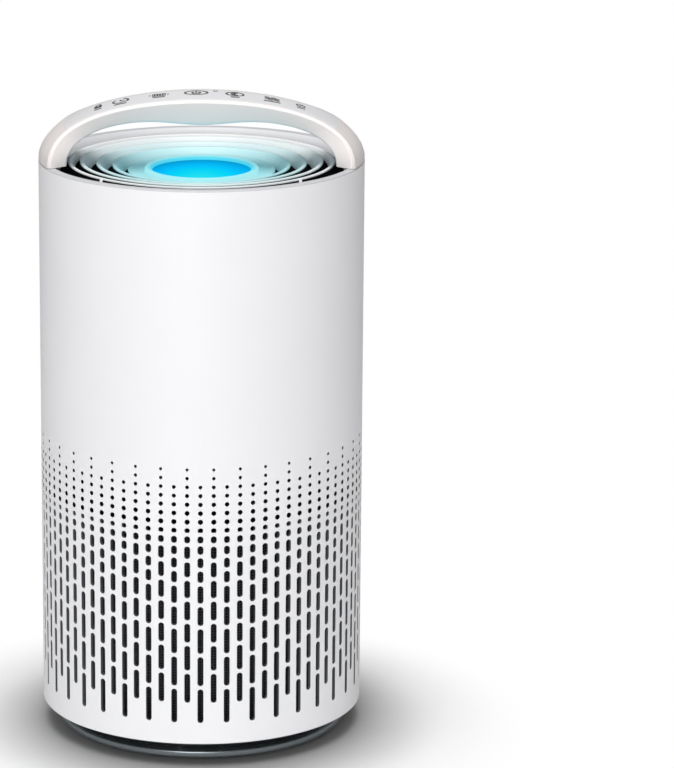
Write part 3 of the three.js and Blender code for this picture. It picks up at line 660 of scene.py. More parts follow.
def sideOfHole(low, high, half):
    # one side of a hole's outline, from its lowest point to its highest
    steps = 5 if high - low > 2 * half + 0.01 else 4
    side = []
    for centre, start in ((low + half, -90), (high - half, 0)):
        for k in range(steps + 1):
            turn = math.radians(start + 90 * k / steps)
            spot = (half * math.cos(turn), centre + half * math.sin(turn))
            if not side or math.dist(spot, side[-1]) > tiny:
                side.append(spot)
    side[0], side[-1] = (0, side[0][1]), (0, side[-1][1])
    return side


def stitch(first, second, spots):
    # triangles between two rows of points that run side by side
    i = j = 0
    faces = []
    while i < len(first) - 1 or j < len(second) - 1:
        if i == len(first) - 1:
            onFirst = False
        elif j == len(second) - 1:
            onFirst = True
        else:
            onFirst = (math.dist(spots[first[i + 1]], spots[second[j]])
                       < math.dist(spots[first[i]], spots[second[j + 1]]))
        if onFirst:
            faces.append((first[i], second[j], first[i + 1]))
            i += 1
        else:
            faces.append((first[i], second[j], second[j + 1]))
            j += 1
    return faces


def columnTile(holes, levels, halfPitch):
    # wall of one column laid flat: (across, up, depth) points, and faces with their part of the wall:
    # 0 outside, 1 edges, 2 inside, 3 the rim, 4 hole walls
    spots, known, faces, parts = [], {}, [], []
    wall, broken = casing["wall"], casing["edgeBreak"]

    def spot(across, up, depth):
        key = (round(across, 4), round(up, 4), round(depth, 4))
        if key not in known:
            known[key] = len(spots)
            spots.append((across, up, depth))
        return known[key]

    def addFace(face, part, flip):
        faces.append(tuple(reversed(face)) if flip else tuple(face))
        parts.append(part)

    cells = cellsOfColumn(holes)
    for (low, high, half), (cellLow, cellHigh) in zip(holes, cells):
        within = [h for h in levels if cellLow - tiny < h < cellHigh + tiny]
        for side in (1, -1):
            rings = []
            for grow, depth in ((broken, 0), (0, broken), (0, wall)):
                outline = sideOfHole(low - grow, high + grow, half + grow)
                rings.append([spot(side * across, up, depth) for across, up in outline])
            for depth, ring, part in ((0, rings[0], 0), (wall, rings[2], 2)):
                edge = [spot(0, cellLow, depth)] + [spot(side * halfPitch, h, depth) for h in within]
                edge.append(spot(0, cellHigh, depth))
                for face in stitch(ring, edge, spots):
                    addFace(face, part, (side < 0) != (part == 2))
            for outer, inner, part in ((rings[0], rings[1], 1), (rings[1], rings[2], 4)):
                for k in range(len(outer) - 1):
                    addFace((outer[k], outer[k + 1], inner[k + 1], inner[k]), part, side < 0)

    # plain wall between the cells, below the first and above the last
    edges = [levels[0]] + [level for cell in cells for level in cell] + [levels[-1]]
    across = (-halfPitch, 0, halfPitch)
    for low, high in zip(edges[::2], edges[1::2]):
        rows = [h for h in levels if low - tiny < h < high + tiny]
        for under, over in zip(rows, rows[1:]):
            for left, right in zip(across, across[1:]):
                corners = ((left, under), (right, under), (right, over), (left, over))
                addFace([spot(*corner, 0) for corner in corners], 0, False)
                if over <= rimLow + tiny:
                    addFace([spot(*corner, wall) for corner in corners], 2, True)

    # rounded rim, flat on top and thickened inwards with a broken inner edge, and the rounded lower edge
    rimRound, footRound, width = casing["rimRound"], casing["footRound"], casing["rimWidth"]
    bends = [math.radians(18 * k) for k in range(6)]
    rim = [(rimRound * (1 - math.cos(turn)), casingTop - rimRound * (1 - math.sin(turn))) for turn in bends]
    rim += [(width - 0.3, casingTop), (width + 0.2, casingTop - 0.4),
            (casing["bowlWidth"], casingTop - casing["bowlDepth"]),
            (casing["bowlWidth"], casingTop - casing["rimDepth"]), (wall, rimLow)]
    foot = [(footRound * (1 - math.cos(turn)), footRound * (1 - math.sin(turn))) for turn in bends]
    foot += [(wall - depth, up) for depth, up in reversed(foot)]
    for row, flip in ((rim, False), (foot, True)):
        for (depth, up), (nextDepth, nextUp) in zip(row, row[1:]):
            part = 3 if min(up, nextUp) > casingTop - casing["rimShadeReach"] else 1
            for left, right in zip(across, across[1:]):
                addFace([spot(left, up, depth), spot(right, up, depth), spot(right, nextUp, nextDepth),
                         spot(left, nextUp, nextDepth)], part, flip)
    return np.array(spots), faces, parts


def buildCasing():
    columns = casing["columns"]
    halfPitch = math.pi * casingRadius / columns
    columnHoles = [holesInColumn(column) for column in range(columns)]
    # every column's sides carry the heights at which either kind of column is divided
    levels = {casing["footRound"], rimLow, casingTop - casing["rimRound"]}
    levels |= {round(casingTop * share, 3) for share in casing["bands"]}
    for holes in (columnHoles[0], columnHoles[1], columnHoles[columns // 2]):
        levels |= {round(level, 4) for cell in cellsOfColumn(holes) for level in cell}
    levels = sorted(levels)
    points, faces, parts = [], [], []
    tiles = {}
    for column, holes in enumerate(columnHoles):
        key = tuple(holes)
        if key not in tiles:
            tiles[key] = columnTile(holes, levels, halfPitch)
        spots, tileFaces, tileParts = tiles[key]
        turn = 2 * math.pi * column / columns + spots[:, 0] / casingRadius
        reach = casingRadius - spots[:, 2]
        shift = len(points)
        points += list(zip(reach * np.sin(turn), -reach * np.cos(turn), casingFoot + spots[:, 1]))
        faces += [tuple(k + shift for k in face) for face in tileFaces]
        parts += tileParts
    # the casing's inside, its rim and its hole walls carry painted shade
    materials = [whiteShell, whiteInside, blackAbsAndPaintedShade, rimPaintedShade, slotWallPaintedShade]
    shell = makePiece("casing_shell", (points, faces, parts), materials, "tower",
                      ["outer_casing"], recalc=False)
    joinAt = 2 * tiny * mm
    editMesh(shell.data, lambda work: bmesh.ops.remove_doubles(work, verts=work.verts, dist=joinAt))
    # the two skins are true cylinders, so their shading follows the circle
    normals = np.zeros((len(shell.data.loops), 3))
    spots = np.array([vertex.co for vertex in shell.data.vertices])
    radial = spots * (1, 1, 0)
    radial /= np.linalg.norm(radial, axis=1)[:, None]
    for face in shell.data.polygons:
        if face.material_index in (0, 2):
            sign = 1 if face.material_index == 0 else -1
            for loop in face.loop_indices:
                normals[loop] = sign * radial[shell.data.loops[loop].vertex_index]
    shell.data.normals_split_custom_set(normals.tolist())
    return sum(len(holes) for holes in columnHoles) - 1     # the socket's opening isn't an inlet


print("casing:", buildCasing(), "holes")


# handle with its touch strip

handle = {
    "rise": 38.6, "tilt": 0.07,        # the touch face falls towards the front by this much per mm
    "halfWidth": 15, "footHalfWidth": 37.9, "flare": 5.4,
    "innerSpan": 81.8, "innerRise": 25.4, "innerPower": 2.42, "belly": 3.8, "bellySpread": 27,
    "underside": 0.8,                  # its width as a share of the top's
    "bevel": 1.55, "crisp": 0.45, "soft": 2.6,
    "stripFrom": 33, "stripDepth": 1.2, "stripMargin": 3.0, "seam": 0.14,
    "coverFrom": 11, "coverDepth": 1.5, "coverMargin": 4.0, "coverSeam": 0.3,
    "bed": 0.1,                        # room under the strip and under the cover
    "gap": 0.28,                       # between the feet and the rim
    "tongueAt": 90.25, "tongueThickness": 6.5, "tongueHalfWidth": 15, "tongueDrop": 13.9, "tongueRise": 1.5,
}
handleFoot = rimShown + handle["gap"]


def archWidth(theta):
    flare = abs(math.cos(theta)) ** handle["flare"]
    return handle["halfWidth"] + (handle["footHalfWidth"] - handle["halfWidth"]) * flare


def archTop(theta, y, depth=0.0):
    span = math.sqrt(casingRadius ** 2 - y ** 2) - depth
    rise = handle["rise"] * math.sin(theta) + handle["tilt"] * y * math.sin(theta) ** 2
    return -span * math.cos(theta), y, handleFoot + rise - depth * math.sin(theta)


def archUnder(theta, y, depth=0.0):
    along = math.copysign(abs(math.cos(theta)) ** (2 / handle["innerPower"]), math.cos(theta))
    up = max(math.sin(theta), 0) ** (2 / handle["innerPower"])
    x = -(handle["innerSpan"] + depth) * along
    belly = handle["belly"] * math.exp(-((x / handle["bellySpread"]) ** 2))
    return x, y, handleFoot + (handle["innerRise"] + depth) * up - belly * up


def handleSection(degrees):
    theta = math.radians(degrees)
    wide = archWidth(theta)
    bevel, low = handle["bevel"], wide * handle["underside"]
    stripHalf = wide - handle["stripMargin"]
    coverHalf = low - handle["coverMargin"]
    strip = handle["stripDepth"] if handle["stripFrom"] < degrees < 180 - handle["stripFrom"] else 0
    cover = handle["coverDepth"] if handle["coverFrom"] < degrees < 180 - handle["coverFrom"] else 0

    def downSide(side):
        # from the top's edge to the middle of the cover's bed
        return [(archTop(theta, side * (wide - bevel)), handle["crisp"]),
                (archTop(theta, side * wide, bevel), handle["crisp"]),
                (archUnder(theta, side * low), handle["soft"]),
                (archUnder(theta, side * coverHalf), 0), (archUnder(theta, side * coverHalf, cover), 0)]

    steps = 10
    corners = downSide(-1) + downSide(1)[::-1] + [(archTop(theta, stripHalf), 0)]
    corners += [(archTop(theta, stripHalf * (1 - 2 * k / steps), strip), 0) for k in range(steps + 1)]
    corners.append((archTop(theta, -stripHalf), 0))
    return rounded(corners)


def stationsAlong(start, steps, *marks):
    # angles from the left foot, each mark with a second station right beside it
    stations = {start + (180 - 2 * start) * k / steps for k in range(steps + 1)}
    for mark in marks:
        stations |= {mark, mark + 0.02, 180 - mark, 180 - mark - 0.02}
    return sorted(stations)


def stripAlong(start, half, top, bottom, point, fillet):
    # a strip that follows the arch between two depths
    steps = 8
    sections = []
    for degrees in stationsAlong(start, 96):
        theta = math.radians(degrees)
        wide = half(theta)
        upper = [(point(theta, wide * (1 - 2 * k / steps), top), 0) for k in range(1, steps)]
        corners = [(point(theta, wide, bottom), 0), (point(theta, wide, top), fillet)] + upper
        corners += [(point(theta, -wide, top), fillet), (point(theta, -wide, bottom), 0)]
        sections.append(rounded(corners, 3))
    return loft(sections)


def tongue(side):
    # a foot of the arch that reaches down inside the casing
    middle, half = side * handle["tongueAt"], handle["tongueThickness"] / 2
    return boxShape((middle - half, -handle["tongueHalfWidth"], rimLevel - handle["tongueDrop"]),
                    (middle + half, handle["tongueHalfWidth"], rimShown + handle["tongueRise"]))


def buildHandle():
    stations = stationsAlong(0, 150, handle["stripFrom"], handle["coverFrom"])
    arch = joinShapes(loft([handleSection(degrees) for degrees in stations]), tongue(-1), tongue(1))
    makePiece("handle_arch", arch, greyHandle, "tower", ["handle_shell"], sharpAngle=28)
    margin = handle["stripMargin"]
    strip = stripAlong(handle["stripFrom"] + 0.12, lambda theta: archWidth(theta) - margin - handle["seam"],
                       0.0, handle["stripDepth"] - handle["bed"], archTop, 0.12)
    makePiece("touch_strip", strip, finishes["touch"], "tower", ["touch_panel"], sharpAngle=40)
    inset = handle["coverMargin"] + handle["coverSeam"]
    share = handle["underside"]
    cover = stripAlong(handle["coverFrom"] + 0.4, lambda theta: archWidth(theta) * share - inset,
                       0.05, handle["coverDepth"] - handle["bed"], archUnder, 0.3)
    makePiece("handle_underside", cover, greyTrim, "tower", ["handle_cover"], sharpAngle=40)


buildHandle()
print("handle built")


# signs printed over the touch keys; a plain bar stands for each caption

signs = {
    "proud": 0.06, "lift": 0.01, "line": 1.35, "thinLine": 1.0,      # mm
    "barLine": 2.0, "barDrop": 3.0, "row": 3.8,        # row: the signs' own middle, across the strip
}


def oval(u, v, halfWide, halfHigh, start=0, end=360, steps=36):
    turns = [math.radians(start + (end - start) * k / steps) for k in range(steps + 1)]
    return [(u + halfWide * math.cos(turn), v + halfHigh * math.sin(turn)) for turn in turns]


def onStrip(middle, u, v, depth):
    # u runs along the arch and v across it, from a key's middle, in mm
    theta = math.radians(middle)
    pace = math.hypot(casingRadius * math.sin(theta), handle["rise"] * math.cos(theta))
    return archTop(theta + u / pace, v, depth)


def inkStroke(middle, path, line):
    # a printed line: a thin ribbon laid on the strip
    sections = []
    for i, (u, v) in enumerate(path):
        before, after = path[max(i - 1, 0)], path[min(i + 1, len(path) - 1)]
        if path[0] == path[-1] and i in (0, len(path) - 1):
            before, after = path[-2], path[1]
        du, dv = after[0] - before[0], after[1] - before[1]
        reach = math.hypot(du, dv) or 1
        sideU, sideV = -dv / reach * line / 2, du / reach * line / 2
        edges = [(u + sideU, v + sideV), (u - sideU, v - sideV)]
        section = [onStrip(middle, *edge, -signs["proud"]) for edge in edges]
        section += [onStrip(middle, *edge, -signs["lift"]) for edge in reversed(edges)]
        sections.append(section)
    return loft(sections)


def keySigns():
    # each key's angle round the arch, its lines as (path, width), and the length of its caption's bar
    line, thin, row = signs["line"], signs["thinLine"], signs["row"]
    lock = [([(u, row - 3.4), (u, row + 1.0)], 1.2) for u in (-1.8, -0.6, 0.6, 1.8)]
    lock.append((oval(0, row + 1.0, 1.6, 4.0, 0, 180, 14), line))
    timer = [(oval(0, row, 4.8, 4.3, -230, 70), line), ([(0, row + 2.6), (0, row), (2.2, row - 0.9)], line),
             ([(2.2, row + 4.9), (3.6, row + 3.2), (1.7, row + 2.9)], thin)]
    case = [(-3.9, row - 2.2), (3.9, row - 2.2), (3.9, row + 2.2), (-3.9, row + 2.2)]
    speed = [(case + case[:1], line)]
    speed += [([(u, row - 1.5), (u, row + 1.5)], 1.1) for u in (-2.6, -0.9, 0.8, 2.5)]
    speed += [([(u - 0.6, row), (u + 0.6, row)], 1.6) for u in (-5.6, 5.6)]
    power = [(oval(0, 4.2, 6.9, 4.4), line), (oval(0, 4.0, 2.4, 2.2, 125, 415, 20), line),
             ([(0, 3.9), (0, 6.9)], line)]
    dot = [([(-1.5, row + 4.4), (1.5, row + 4.4)], line)]
    sleep = [(oval(0, row, 5.3, 4.1), line),
             (oval(0.3, row, 2.5, 2.4, 60, 300, 20) + oval(1.2, row, 1.7, 2.0, 290, 70, 14), line)]
    waves = [([(u / 4 - 4.4, row + level + 0.8 * math.sin(u / 4 * 1.45)) for u in range(36)], line)
             for level in (-2.5, 0, 2.5)]
    leaf = [(oval(0, row, 2.6, 3.0), thin), ([(-1.9, row - 2.2), (1.9, row + 2.2)], thin)]
    return [(50.6, lock, 4.6), (60.2, timer, 7.8), (74.8, speed, 7.6), (88.1, power, 0), (94.8, dot, 0),
            (101.8, sleep, 5.4), (115.6, waves, 10.4), (127.4, leaf, 5.4)]


def buildSigns():
    strokes = []
    for middle, marks, bar in keySigns():
        strokes += [inkStroke(middle, path, line) for path, line in marks]
        if bar:
            level = min(v for path, line in marks for u, v in path) - signs["barDrop"]
            caption = [(bar * (k / 6 - 0.5), level) for k in range(7)]
            strokes.append(inkStroke(middle, caption, signs["barLine"]))
    makePiece("key_signs", joinShapes(*strokes), finishes["ink"], "tower")


buildSigns()
print("signs printed")


# pieces of the tower that are black inside share a finish and the tower's body
def darkPiece(name, shape, *nodes):
    makePiece(name, shape, blackAbsAndPaintedShade, "tower", nodes)


# outlet grille, light and their carrier

grille = {
    # each ring's edge radius, depth below the rim, width on top, and the radius and fall of its inner slope
    "rings": [(82, 1.6, 2, 77.2, 4.6), (74.6, 1.7, 2, 67.4, 6.5), (64.5, 2.9, 2, 57.6, 6.5),
              (54.6, 4.2, 2, 47.5, 6.8), (45.2, 7.4, 9.7, 35.4, 5.2)],
    "lip": 1.15, "edge": 0.5,
    "ribAngles": [-136, -44, 44, 136], "ribThickness": 1.6, "barOffset": 59.6,
    # (distance out, height over the rim): two front bars rise to the rim, the back ones stay low
    "frontBar": [(55.4, -1.9), (73.6, -0.4), (73.6, -11.2), (66, -11.2), (53.4, -5.6)],
    "backBar": [(52.6, -5.2), (57, -8.2), (68, -8.2), (68, -11.2), (64, -11.2), (51, -6)],
    "leg": [(32.6, -26), (32.6, -15.4), (36, -15.1), (48, -13.5), (58, -11.9), (67.8, -10.7), (78, -8.7),
            (84, -12), (92, -13.9), (80, -19)],
    "cupRadius": 33.6, "cupWall": 1.8, "cupDepth": 30,
    "seatInner": 94, "seatOuter": 97, "seatDepth": 14.2, "seatThickness": 2,
    "lensRadius": 30.4, "lensDepth": 8.0, "lensThickness": 1.6,
}


def buildGrille():
    louvres, bars, legs = [], [], []
    for radius, depth, width, foot, fall in grille["rings"]:
        top, bottom = rimShown - depth, rimShown - depth - fall
        louvres.append(turnedPart([
            (radius, top, grille["edge"]), (radius - width, top - 0.15, 0.6), (foot, bottom, 0.3),
            (foot + 1.2, bottom, 0.3), (radius, top - grille["lip"], 0.4)], 192))
    for angle in grille["ribAngles"]:
        front = abs(angle) < 90
        bar = [(y, rimShown + z) for y, z in grille["frontBar" if front else "backBar"]]
        bar = plateAt(bar, grille["ribThickness"], 0 if front else 180)
        bars.append(moved(bar, x=math.copysign(grille["barOffset"], angle)))
        leg = [(r, rimLevel + z) for r, z in grille["leg"]]
        legs.append(plateAt(leg, grille["ribThickness"], angle))
    makePiece("outlet_louvres", joinShapes(*louvres, *bars), finishes["louvres"], "tower",
              ["outlet_grille"], sharpAngle=40)
    outer, wall = grille["cupRadius"], grille["cupWall"]
    low, high = rimLevel - grille["cupDepth"], rimShown - grille["lensDepth"] - 1.4
    cup = turnedPart([(0, low, 0), (outer, low, 1.5), (outer, high, 0.3), (outer - wall, high, 0.3),
                      (outer - wall, low + 2, 0.6), (0, low + 2, 0)], 96)
    darkPiece("light_cup", joinShapes(cup, *legs))
    high = rimLevel - grille["seatDepth"]
    low = high - grille["seatThickness"]
    outer, inner = grille["seatOuter"], grille["seatInner"]
    seat = turnedPart([(outer, low, 0.3), (outer, high, 0.3), (inner, high, 0.5), (inner, low, 0.5)])
    darkPiece("grille_seat_ring", seat, "grille_seat")


def buildLight():
    top, radius, outer = rimShown - grille["lensDepth"], grille["lensRadius"], grille["cupRadius"]
    low = top - grille["lensThickness"]
    lens = turnedPart([(0, low, 0), (radius, low, 0.2), (radius, top, 0.35), (radius * 0.5, top - 0.12, 0),
                       (0, top - 0.16, 0)])
    makePiece("lens_disc", lens, finishes["lens"], "tower", ["light_lens"])
    lip = turnedPart([(radius + 0.15, top - 1.1, 0), (outer + 0.1, top - 1.1, 0), (outer + 0.1, top - 5, 0),
                      (outer + 1.6, top - 5, 0.3), (outer + 1, top + 2.0, 0.7),
                      (radius + 0.9, top + 1.5, 0.4), (radius + 0.15, top - 0.1, 0.2)])
    makePiece("light_collar", lip, finishes["lip"], "tower", ["light_lip"], sharpAngle=50)


buildGrille()
buildLight()
print("grille and light built")


# base and feet

base = {
    "underside": 3, "plateRadius": 83.9, "skirtLow": 6, "skirtRadius": 88.6, "plugRadius": 84.8,
    "plugLow": 12, "plugTop": 26, "plugInner": 83, "floorTop": 9, "wellRadius": 62, "wellTop": 13.7,
    "lugNear": 84, "lugLow": 20.5, "lugHigh": 24, "lugFar": 94, "lugHalfAngle": 9, "lugAngles": [0, 120, 240],
    "bandRadius": 90, "bandInner": 84.2, "bandLow": 2.3, "bandBed": 5.8, "bandEdge": 6.2, "bandHigh": 9.6,
    "pocketRadius": 34, "pocketCut": 0.42, "pocketDepth": 11,
}


def fingerPocket(side):
    # a half-moon that goes from below into the base, to turn it by
    cut, steps = base["pocketCut"], 24
    arc = [side + cut + (math.pi - 2 * cut) * k / steps for k in range(steps + 1)]
    outline = [(base["pocketRadius"] * math.cos(turn), base["pocketRadius"] * math.sin(turn)) for turn in arc]
    return prism(outline, 1, base["pocketDepth"])


def carve(piece, shape):
    cutter = addObject("cutter", meshOf("cutter", shape))
    cut = piece.modifiers.new("cut", "BOOLEAN")
    cut.operation = "DIFFERENCE"
    cut.solver = "EXACT"
    cut.object = cutter
    bpy.context.view_layer.objects.active = piece
    bpy.ops.object.modifier_apply(modifier=cut.name)
    bpy.data.objects.remove(cutter)


def buildBase():
    low, plate, inner = base["underside"], base["plateRadius"], base["plugInner"]
    body = turnedPart([
        (0, low, 0), (plate, low, 0.3), (plate, base["skirtLow"], 0),
        (base["skirtRadius"], base["skirtLow"], 0.6), (base["plugRadius"], base["plugLow"], 1.2),
        (base["plugRadius"], base["plugTop"], 0.6), (inner, base["plugTop"], 0.6),
        (inner, base["floorTop"], 0.8), (base["wellRadius"], base["floorTop"], 1.0),
        (base["wellRadius"], base["wellTop"], 1.0), (0, base["wellTop"], 0)])
    lugs = [sectorBlock(base["lugNear"], base["lugFar"], base["lugLow"], base["lugHigh"], angle,
                        base["lugHalfAngle"]) for angle in base["lugAngles"]]
    piece = makePiece("base_body", joinShapes(body, *lugs), darkBase, "base",
                      ["base_cover", "bayonet_lug_1", "bayonet_lug_2", "bayonet_lug_3"])
    carve(piece, fingerPocket(0))
    carve(piece, fingerPocket(math.pi))
    piece.data.set_sharp_from_angle(angle=math.radians(32))
    # an upright face with a soft edge, and over it a slope that tucks in under the casing
    radius, low, high, bed = base["bandRadius"], base["bandLow"], base["bandHigh"], base["bandBed"]
    band = turnedPart([
        (base["bandInner"], low, 0.2), (radius, low, 1.4), (radius, base["bandEdge"], 1.8),
        (86.9, high, 0.3), (86.5, high, 0), (88.9, bed, 0), (base["bandInner"], bed, 0)], 192, 8)
    makePiece("base_band", band, finishes["satin_silver"], "base", ["base_ring"],
              sharpAngle=50)
    for k in range(1, 5):
        lowCorner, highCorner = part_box(f"foot_{k}")
        middle = (lowCorner + highCorner) / 2 / mm
        reach, top = (highCorner.y - lowCorner.y) / 2 / mm, highCorner.z / mm
        pad = turnedPart([(0, 0.25, 0), (reach - 1.8, 0, 0.2), (reach, 0.6, 0.9), (reach, top, 0.1),
                          (0, top, 0)], 48)
        makePiece(f"foot_pad_{k}", moved(pad, middle.x, middle.y), finishes["rubber"], "base",
                  [f"foot_{k}"])


buildBase()
print("base built")


# filter, seen when the tower is lifted off

cartridge = {
    "meshWall": 1.2, "capFloor": 5, "capRimWall": 0.7, "bore": 46, "carbonInner": 48, "sealInner": 50,
    "grooveFrom": 63, "grooveTo": 66, "grooveSide": 0.6, "grooveDepth": 0.6,
}


def spanOf(node):
    # outer radius and the two levels of a round piece of the frame, in mm
    low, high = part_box(node)
    return high.y / mm, low.z / mm, high.z / mm


def buildFilter():
    radius, low, high = spanOf("filter_mesh")
    sleeve = tube(radius, radius - cartridge["meshWall"], low, high, 0.2, 0.2)
    makePiece("filter_sleeve", sleeve, finishes["mesh"], "filter", ["filter_mesh"])
    radius, low, high = spanOf("filter_bottom_cap")
    wall, floor = radius - cartridge["capRimWall"], low + cartridge["capFloor"]
    foot = turnedPart([(0, low, 0), (radius, low, 1.2), (radius, high, 0.25), (wall, high, 0.25),
                       (wall, floor, 0.1), (0, floor, 0)])
    makePiece("filter_foot", foot, blackAbsAndPaintedShade, "filter", ["filter_bottom_cap"])
    radius, low, high = spanOf("filter_top_cap")
    bore, near, far = cartridge["bore"], cartridge["grooveFrom"], cartridge["grooveTo"]
    groove, side = high - cartridge["grooveDepth"], cartridge["grooveSide"]
    head = turnedPart([(bore, low, 0.3), (radius, low, 0.3), (radius, high, 1.2), (far, high, 0.3),
                       (far - side, groove, 0.2), (near + side, groove, 0.2), (near, high, 0.3),
                       (bore, high, 0.8)])
    makePiece("filter_head", head, blackAbsAndPaintedShade, "filter", ["filter_top_cap"])
    radius, low, high = spanOf("filter_gasket")
    seal = tube(radius, cartridge["sealInner"], low, high, 0.4, 2.0)
    makePiece("filter_seal", seal, finishes["gasket"], "filter", ["filter_gasket"])
    radius, low, high = spanOf("carbon_layer")
    core = tube(radius, cartridge["carbonInner"], low, high, 0.2, 0.2, 120)
    makePiece("filter_core", core, finishes["carbon"], "filter", ["carbon_layer"])


# inner frame, seen through the openings

carrier = {
    "inner": 87, "ringHeight": 4, "postNear": 89, "postFar": 96.6, "postWidth": 5,
    "postAngles": [30, 70, 150, 190, 270, 310],
    "arcMiddles": [60, 180, 300], "arcHalf": 50.9, "arcInner": 89,
    "leadAngle": 183, "leadHalf": 2.2, "flangeFrom": 90.6,
}


def flangeArc(near, far, low, high):
    # a ring that leaves a notch for the power lead
    return sectorBlock(near, far, low, high, carrier["leadAngle"] + 180, 180 - carrier["leadHalf"], 150)


def framePost(angle, low, high):
    # an upright post with softened long edges
    turn, half = math.radians(angle), carrier["postWidth"] / 2
    near, far = carrier["postNear"], carrier["postFar"]
    corners = [(-half, -near), (half, -near), (half, -far), (-half, -far)]
    outline = rounded([((x, y, 0), 0.5) for x, y in corners], 3)
    return prism([(x * math.cos(turn) - y * math.sin(turn), x * math.sin(turn) + y * math.cos(turn))
                  for x, y, z in outline], low, high)


def buildFrame():
    radius, low, high = spanOf("bayonet_ring_2")
    for k, middle in enumerate(carrier["arcMiddles"], 1):
        arc = sectorBlock(carrier["arcInner"], radius, low, high, middle, carrier["arcHalf"], 48)
        darkPiece(f"bayonet_arc_{k}", arc, f"bayonet_ring_{k}")
    radius, low, high = spanOf("inner_frame")
    near, far, ringLow = carrier["inner"], carrier["flangeFrom"], high - carrier["ringHeight"]
    posts = [framePost(angle, low, ringLow) for angle in carrier["postAngles"]]
    ring = turnedPart([(near, ringLow, 0.3), (far, ringLow, 0), (far, high, 0), (near, high, 0.3)])
    darkPiece("frame_posts", joinShapes(ring, flangeArc(far, radius, ringLow, high), *posts), "inner_frame")


# air path and fan

airPath = {
    "plate": 2.5, "throat": 43.5, "throatWall": 1.6, "drum": 90, "drumWall": 2, "flange": 2,
    "hub": 36, "hubWall": 2, "hubBore": 8,
    "vanes": 11, "vaneTurn": 12, "vaneLean": 20, "leanFrom": 30, "vaneWall": 1.8,
}


def guideVane(angle, low, high):
    # it leans most at its foot, and less the further out it is
    sections = []
    steps, half = 8, airPath["vaneWall"] / 2
    near, far = airPath["hub"] - 0.5, airPath["drum"] - 1
    for k in range(steps + 1):
        height = low + (high - low) * k / steps
        lean = airPath["vaneLean"] * (1 - k / steps) * (airPath["hub"] + airPath["leanFrom"])
        section = []
        for radius, side in ((near, -half), (far, -half), (far, half), (near, half)):
            turn = math.radians(angle - lean / (radius + airPath["leanFrom"]))
            section.append((side * math.cos(turn) + radius * math.sin(turn),
                            side * math.sin(turn) - radius * math.cos(turn), height))
        sections.append(section)
    return loft(sections)


def drumShell(low, high, radius):
    # a round wall with a flange at its foot
    drum = airPath["drum"]
    return joinShapes(tube(drum, drum - airPath["drumWall"], low, high, 0.3, 0.4),
                      flangeArc(drum, radius, low, low + airPath["flange"]))


def buildAirPath():
    radius, low, high = spanOf("inlet_plate")
    edge, throat, top = carrier["flangeFrom"], airPath["throat"], low + airPath["plate"]
    bell = turnedPart([
        (edge, low, 0), (edge, top, 0), (51, top, 2.0), (45.5, high - 9, 6), (throat, high, 0.5),
        (throat - airPath["throatWall"], high, 0.5), (throat - 0.6, high - 9, 6), (48, low, 4)], 160, 8)
    darkPiece("inlet_bell", joinShapes(bell, flangeArc(edge, radius, low, top)), "inlet_plate")
    radius, low, high = spanOf("fan_housing")
    darkPiece("fan_drum", drumShell(low, high, radius), "fan_housing")
    radius, low, high = spanOf("guide_vanes")
    hub, wall, bore = airPath["hub"], airPath["hub"] - airPath["hubWall"], airPath["hubBore"]
    floor = low + airPath["plate"]
    cup = turnedPart([(bore, low, 0.4), (hub, low, 0.8), (hub, high, 0.4), (wall, high, 0.4),
                      (wall, floor, 0.8), (bore, floor, 0.4)])
    count = airPath["vanes"]
    vanes = [guideVane(k * 360 / count + airPath["vaneTurn"], low, high) for k in range(count)]
    darkPiece("vane_ring", joinShapes(drumShell(low, high, radius), cup, *vanes), "guide_vanes")
    foot = high + 0.3
    cover = turnedPart([(hub, foot, 0.2), (33.6, high + 14, 7), (4, high + 28, 3), (4, high + 26.2, 0.3),
                        (32, high + 13.4, 6), (hub - 1.8, foot, 0.2)], 160, 8)
    darkPiece("hub_dome", cover, "hub_cover")


fanWheel = {
    "radius": 72, "eye": 46, "hubFloor": 18.4, "plateFall": 6.6, "shroudRise": 10.8, "sheet": 1.8,
    "blades": 9, "bladeInner": 40, "bladeSweep": 0.75, "bladeWall": 1.5, "bladeTaper": 0.4,
    "bladeFoot": 4.4, "footRise": 9.6, "bladeTop": 3.2, "topFall": 3.8,
}


def fanBlade(angle, low, high):
    # curved back against the turning direction, thinner towards its tip, between shroud and back plate
    steps = 14
    near, eye, tip = fanWheel["bladeInner"], fanWheel["eye"], fanWheel["radius"]
    sections = []
    for k in range(steps + 1):
        share = k / steps
        radius = near + (tip - 0.4 - near) * share
        sweep = math.radians(angle) - fanWheel["bladeSweep"] * share ** 1.2
        half = fanWheel["bladeWall"] / 2 * (1 - fanWheel["bladeTaper"] * share) / radius
        foot = low + fanWheel["bladeFoot"] + fanWheel["footRise"] * max(radius - eye, 0) / (tip - eye)
        top = high - fanWheel["bladeTop"] - fanWheel["topFall"] * (radius - near) / (tip - near)
        sections.append([(radius * math.sin(sweep + side), -radius * math.cos(sweep + side), height)
                         for side, height in ((-half, foot), (half, foot), (half, top), (-half, top))])
    return loft(sections)


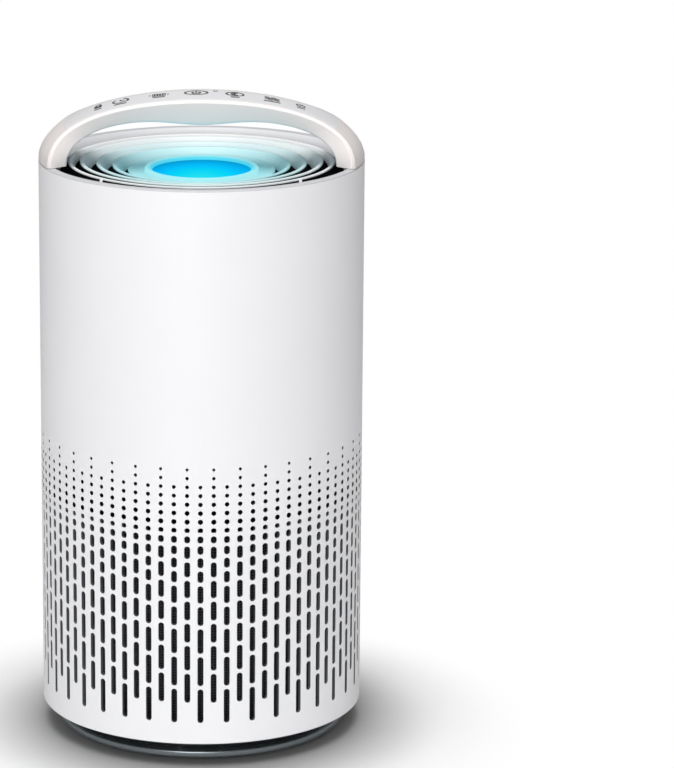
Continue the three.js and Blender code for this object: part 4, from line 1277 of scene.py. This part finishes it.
def buildWheel():
    radius, low, high = spanOf("impeller")
    tip, eye, sheet = fanWheel["radius"], fanWheel["eye"], fanWheel["sheet"]
    floor, rise, fall = low + fanWheel["hubFloor"], low + fanWheel["shroudRise"], high - fanWheel["plateFall"]
    back = turnedPart([
        (3, low + 5.4, 0.3), (7, low + 5.4, 0.6), (7, floor - 3, 1.0), (28.8, floor - 2.2, 1.2),
        (29.4, high - 2, 1.5), (tip, fall, 0.4), (tip, fall + sheet, 0.4), (27.4, high, 1.5),
        (27.4, floor, 0.6), (3, floor, 0.3)])
    shroud = turnedPart([(eye, low, 0.4), (eye + 1.6, low, 0.4), (eye + 4, low + 3.8, 3), (tip, rise, 0.4),
                         (tip, rise + sheet, 0.4), (eye + 2, low + 5.4, 3)], 160, 6)
    blades = [fanBlade(360 * k / fanWheel["blades"], low, high) for k in range(fanWheel["blades"])]
    makePiece("fan_wheel", joinShapes(back, shroud, *blades), greyTrim, "rotor", ["impeller"])


def buildSocket():
    # the low-voltage socket in the back of the casing
    reach, low, high = spanOf("power_inlet")
    body = boxShape((-5.5, reach - 11.6, low), (5.5, reach - 2.6, high))
    collar = tube(3.5, 2.8, reach - 2.8, reach, 0, 0.3, 64)
    pin = turnedPart([(0, reach - 3.7, 0), (1.0, reach - 3.7, 0), (1.0, reach - 1.2, 0.4),
                      (0, reach - 1.2, 0)], 32)
    level = (low + high) / 2
    facing = [([(x, z, level + y) for x, y, z in points], faces) for points, faces in (collar, pin)]
    darkPiece("inlet_socket", joinShapes(body, *facing), "power_inlet")


buildFilter()
buildFrame()
buildAirPath()
buildWheel()
buildSocket()
print("filter, frame, air path and socket built")


# the CAD pieces that stay as they are get their finish here

carriedOver = {
    "board": ["touch_film", "light_board", "main_board"],
    "dark": ["inlet_guard", "motor_base", "air_sensor"],
    "motor_steel": ["rotor_can", "motor_shaft"],
    "bronze": ["shaft_nut", "bearing_lower", "bearing_upper"],
    "copper": ["motor_stator"],
    "wire": ["power_lead", "light_lead"],
    "paper": ["filter_media"],
}


def finishCarriedOver():
    for finish, nodes in carriedOver.items():
        for node in nodes:
            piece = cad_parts[node]
            piece.data.materials.clear()
            piece.data.materials.append(finishes[finish])


finishCarriedOver()
print("carried-over pieces finished:", sum(len(nodes) for nodes in carriedOver.values()))
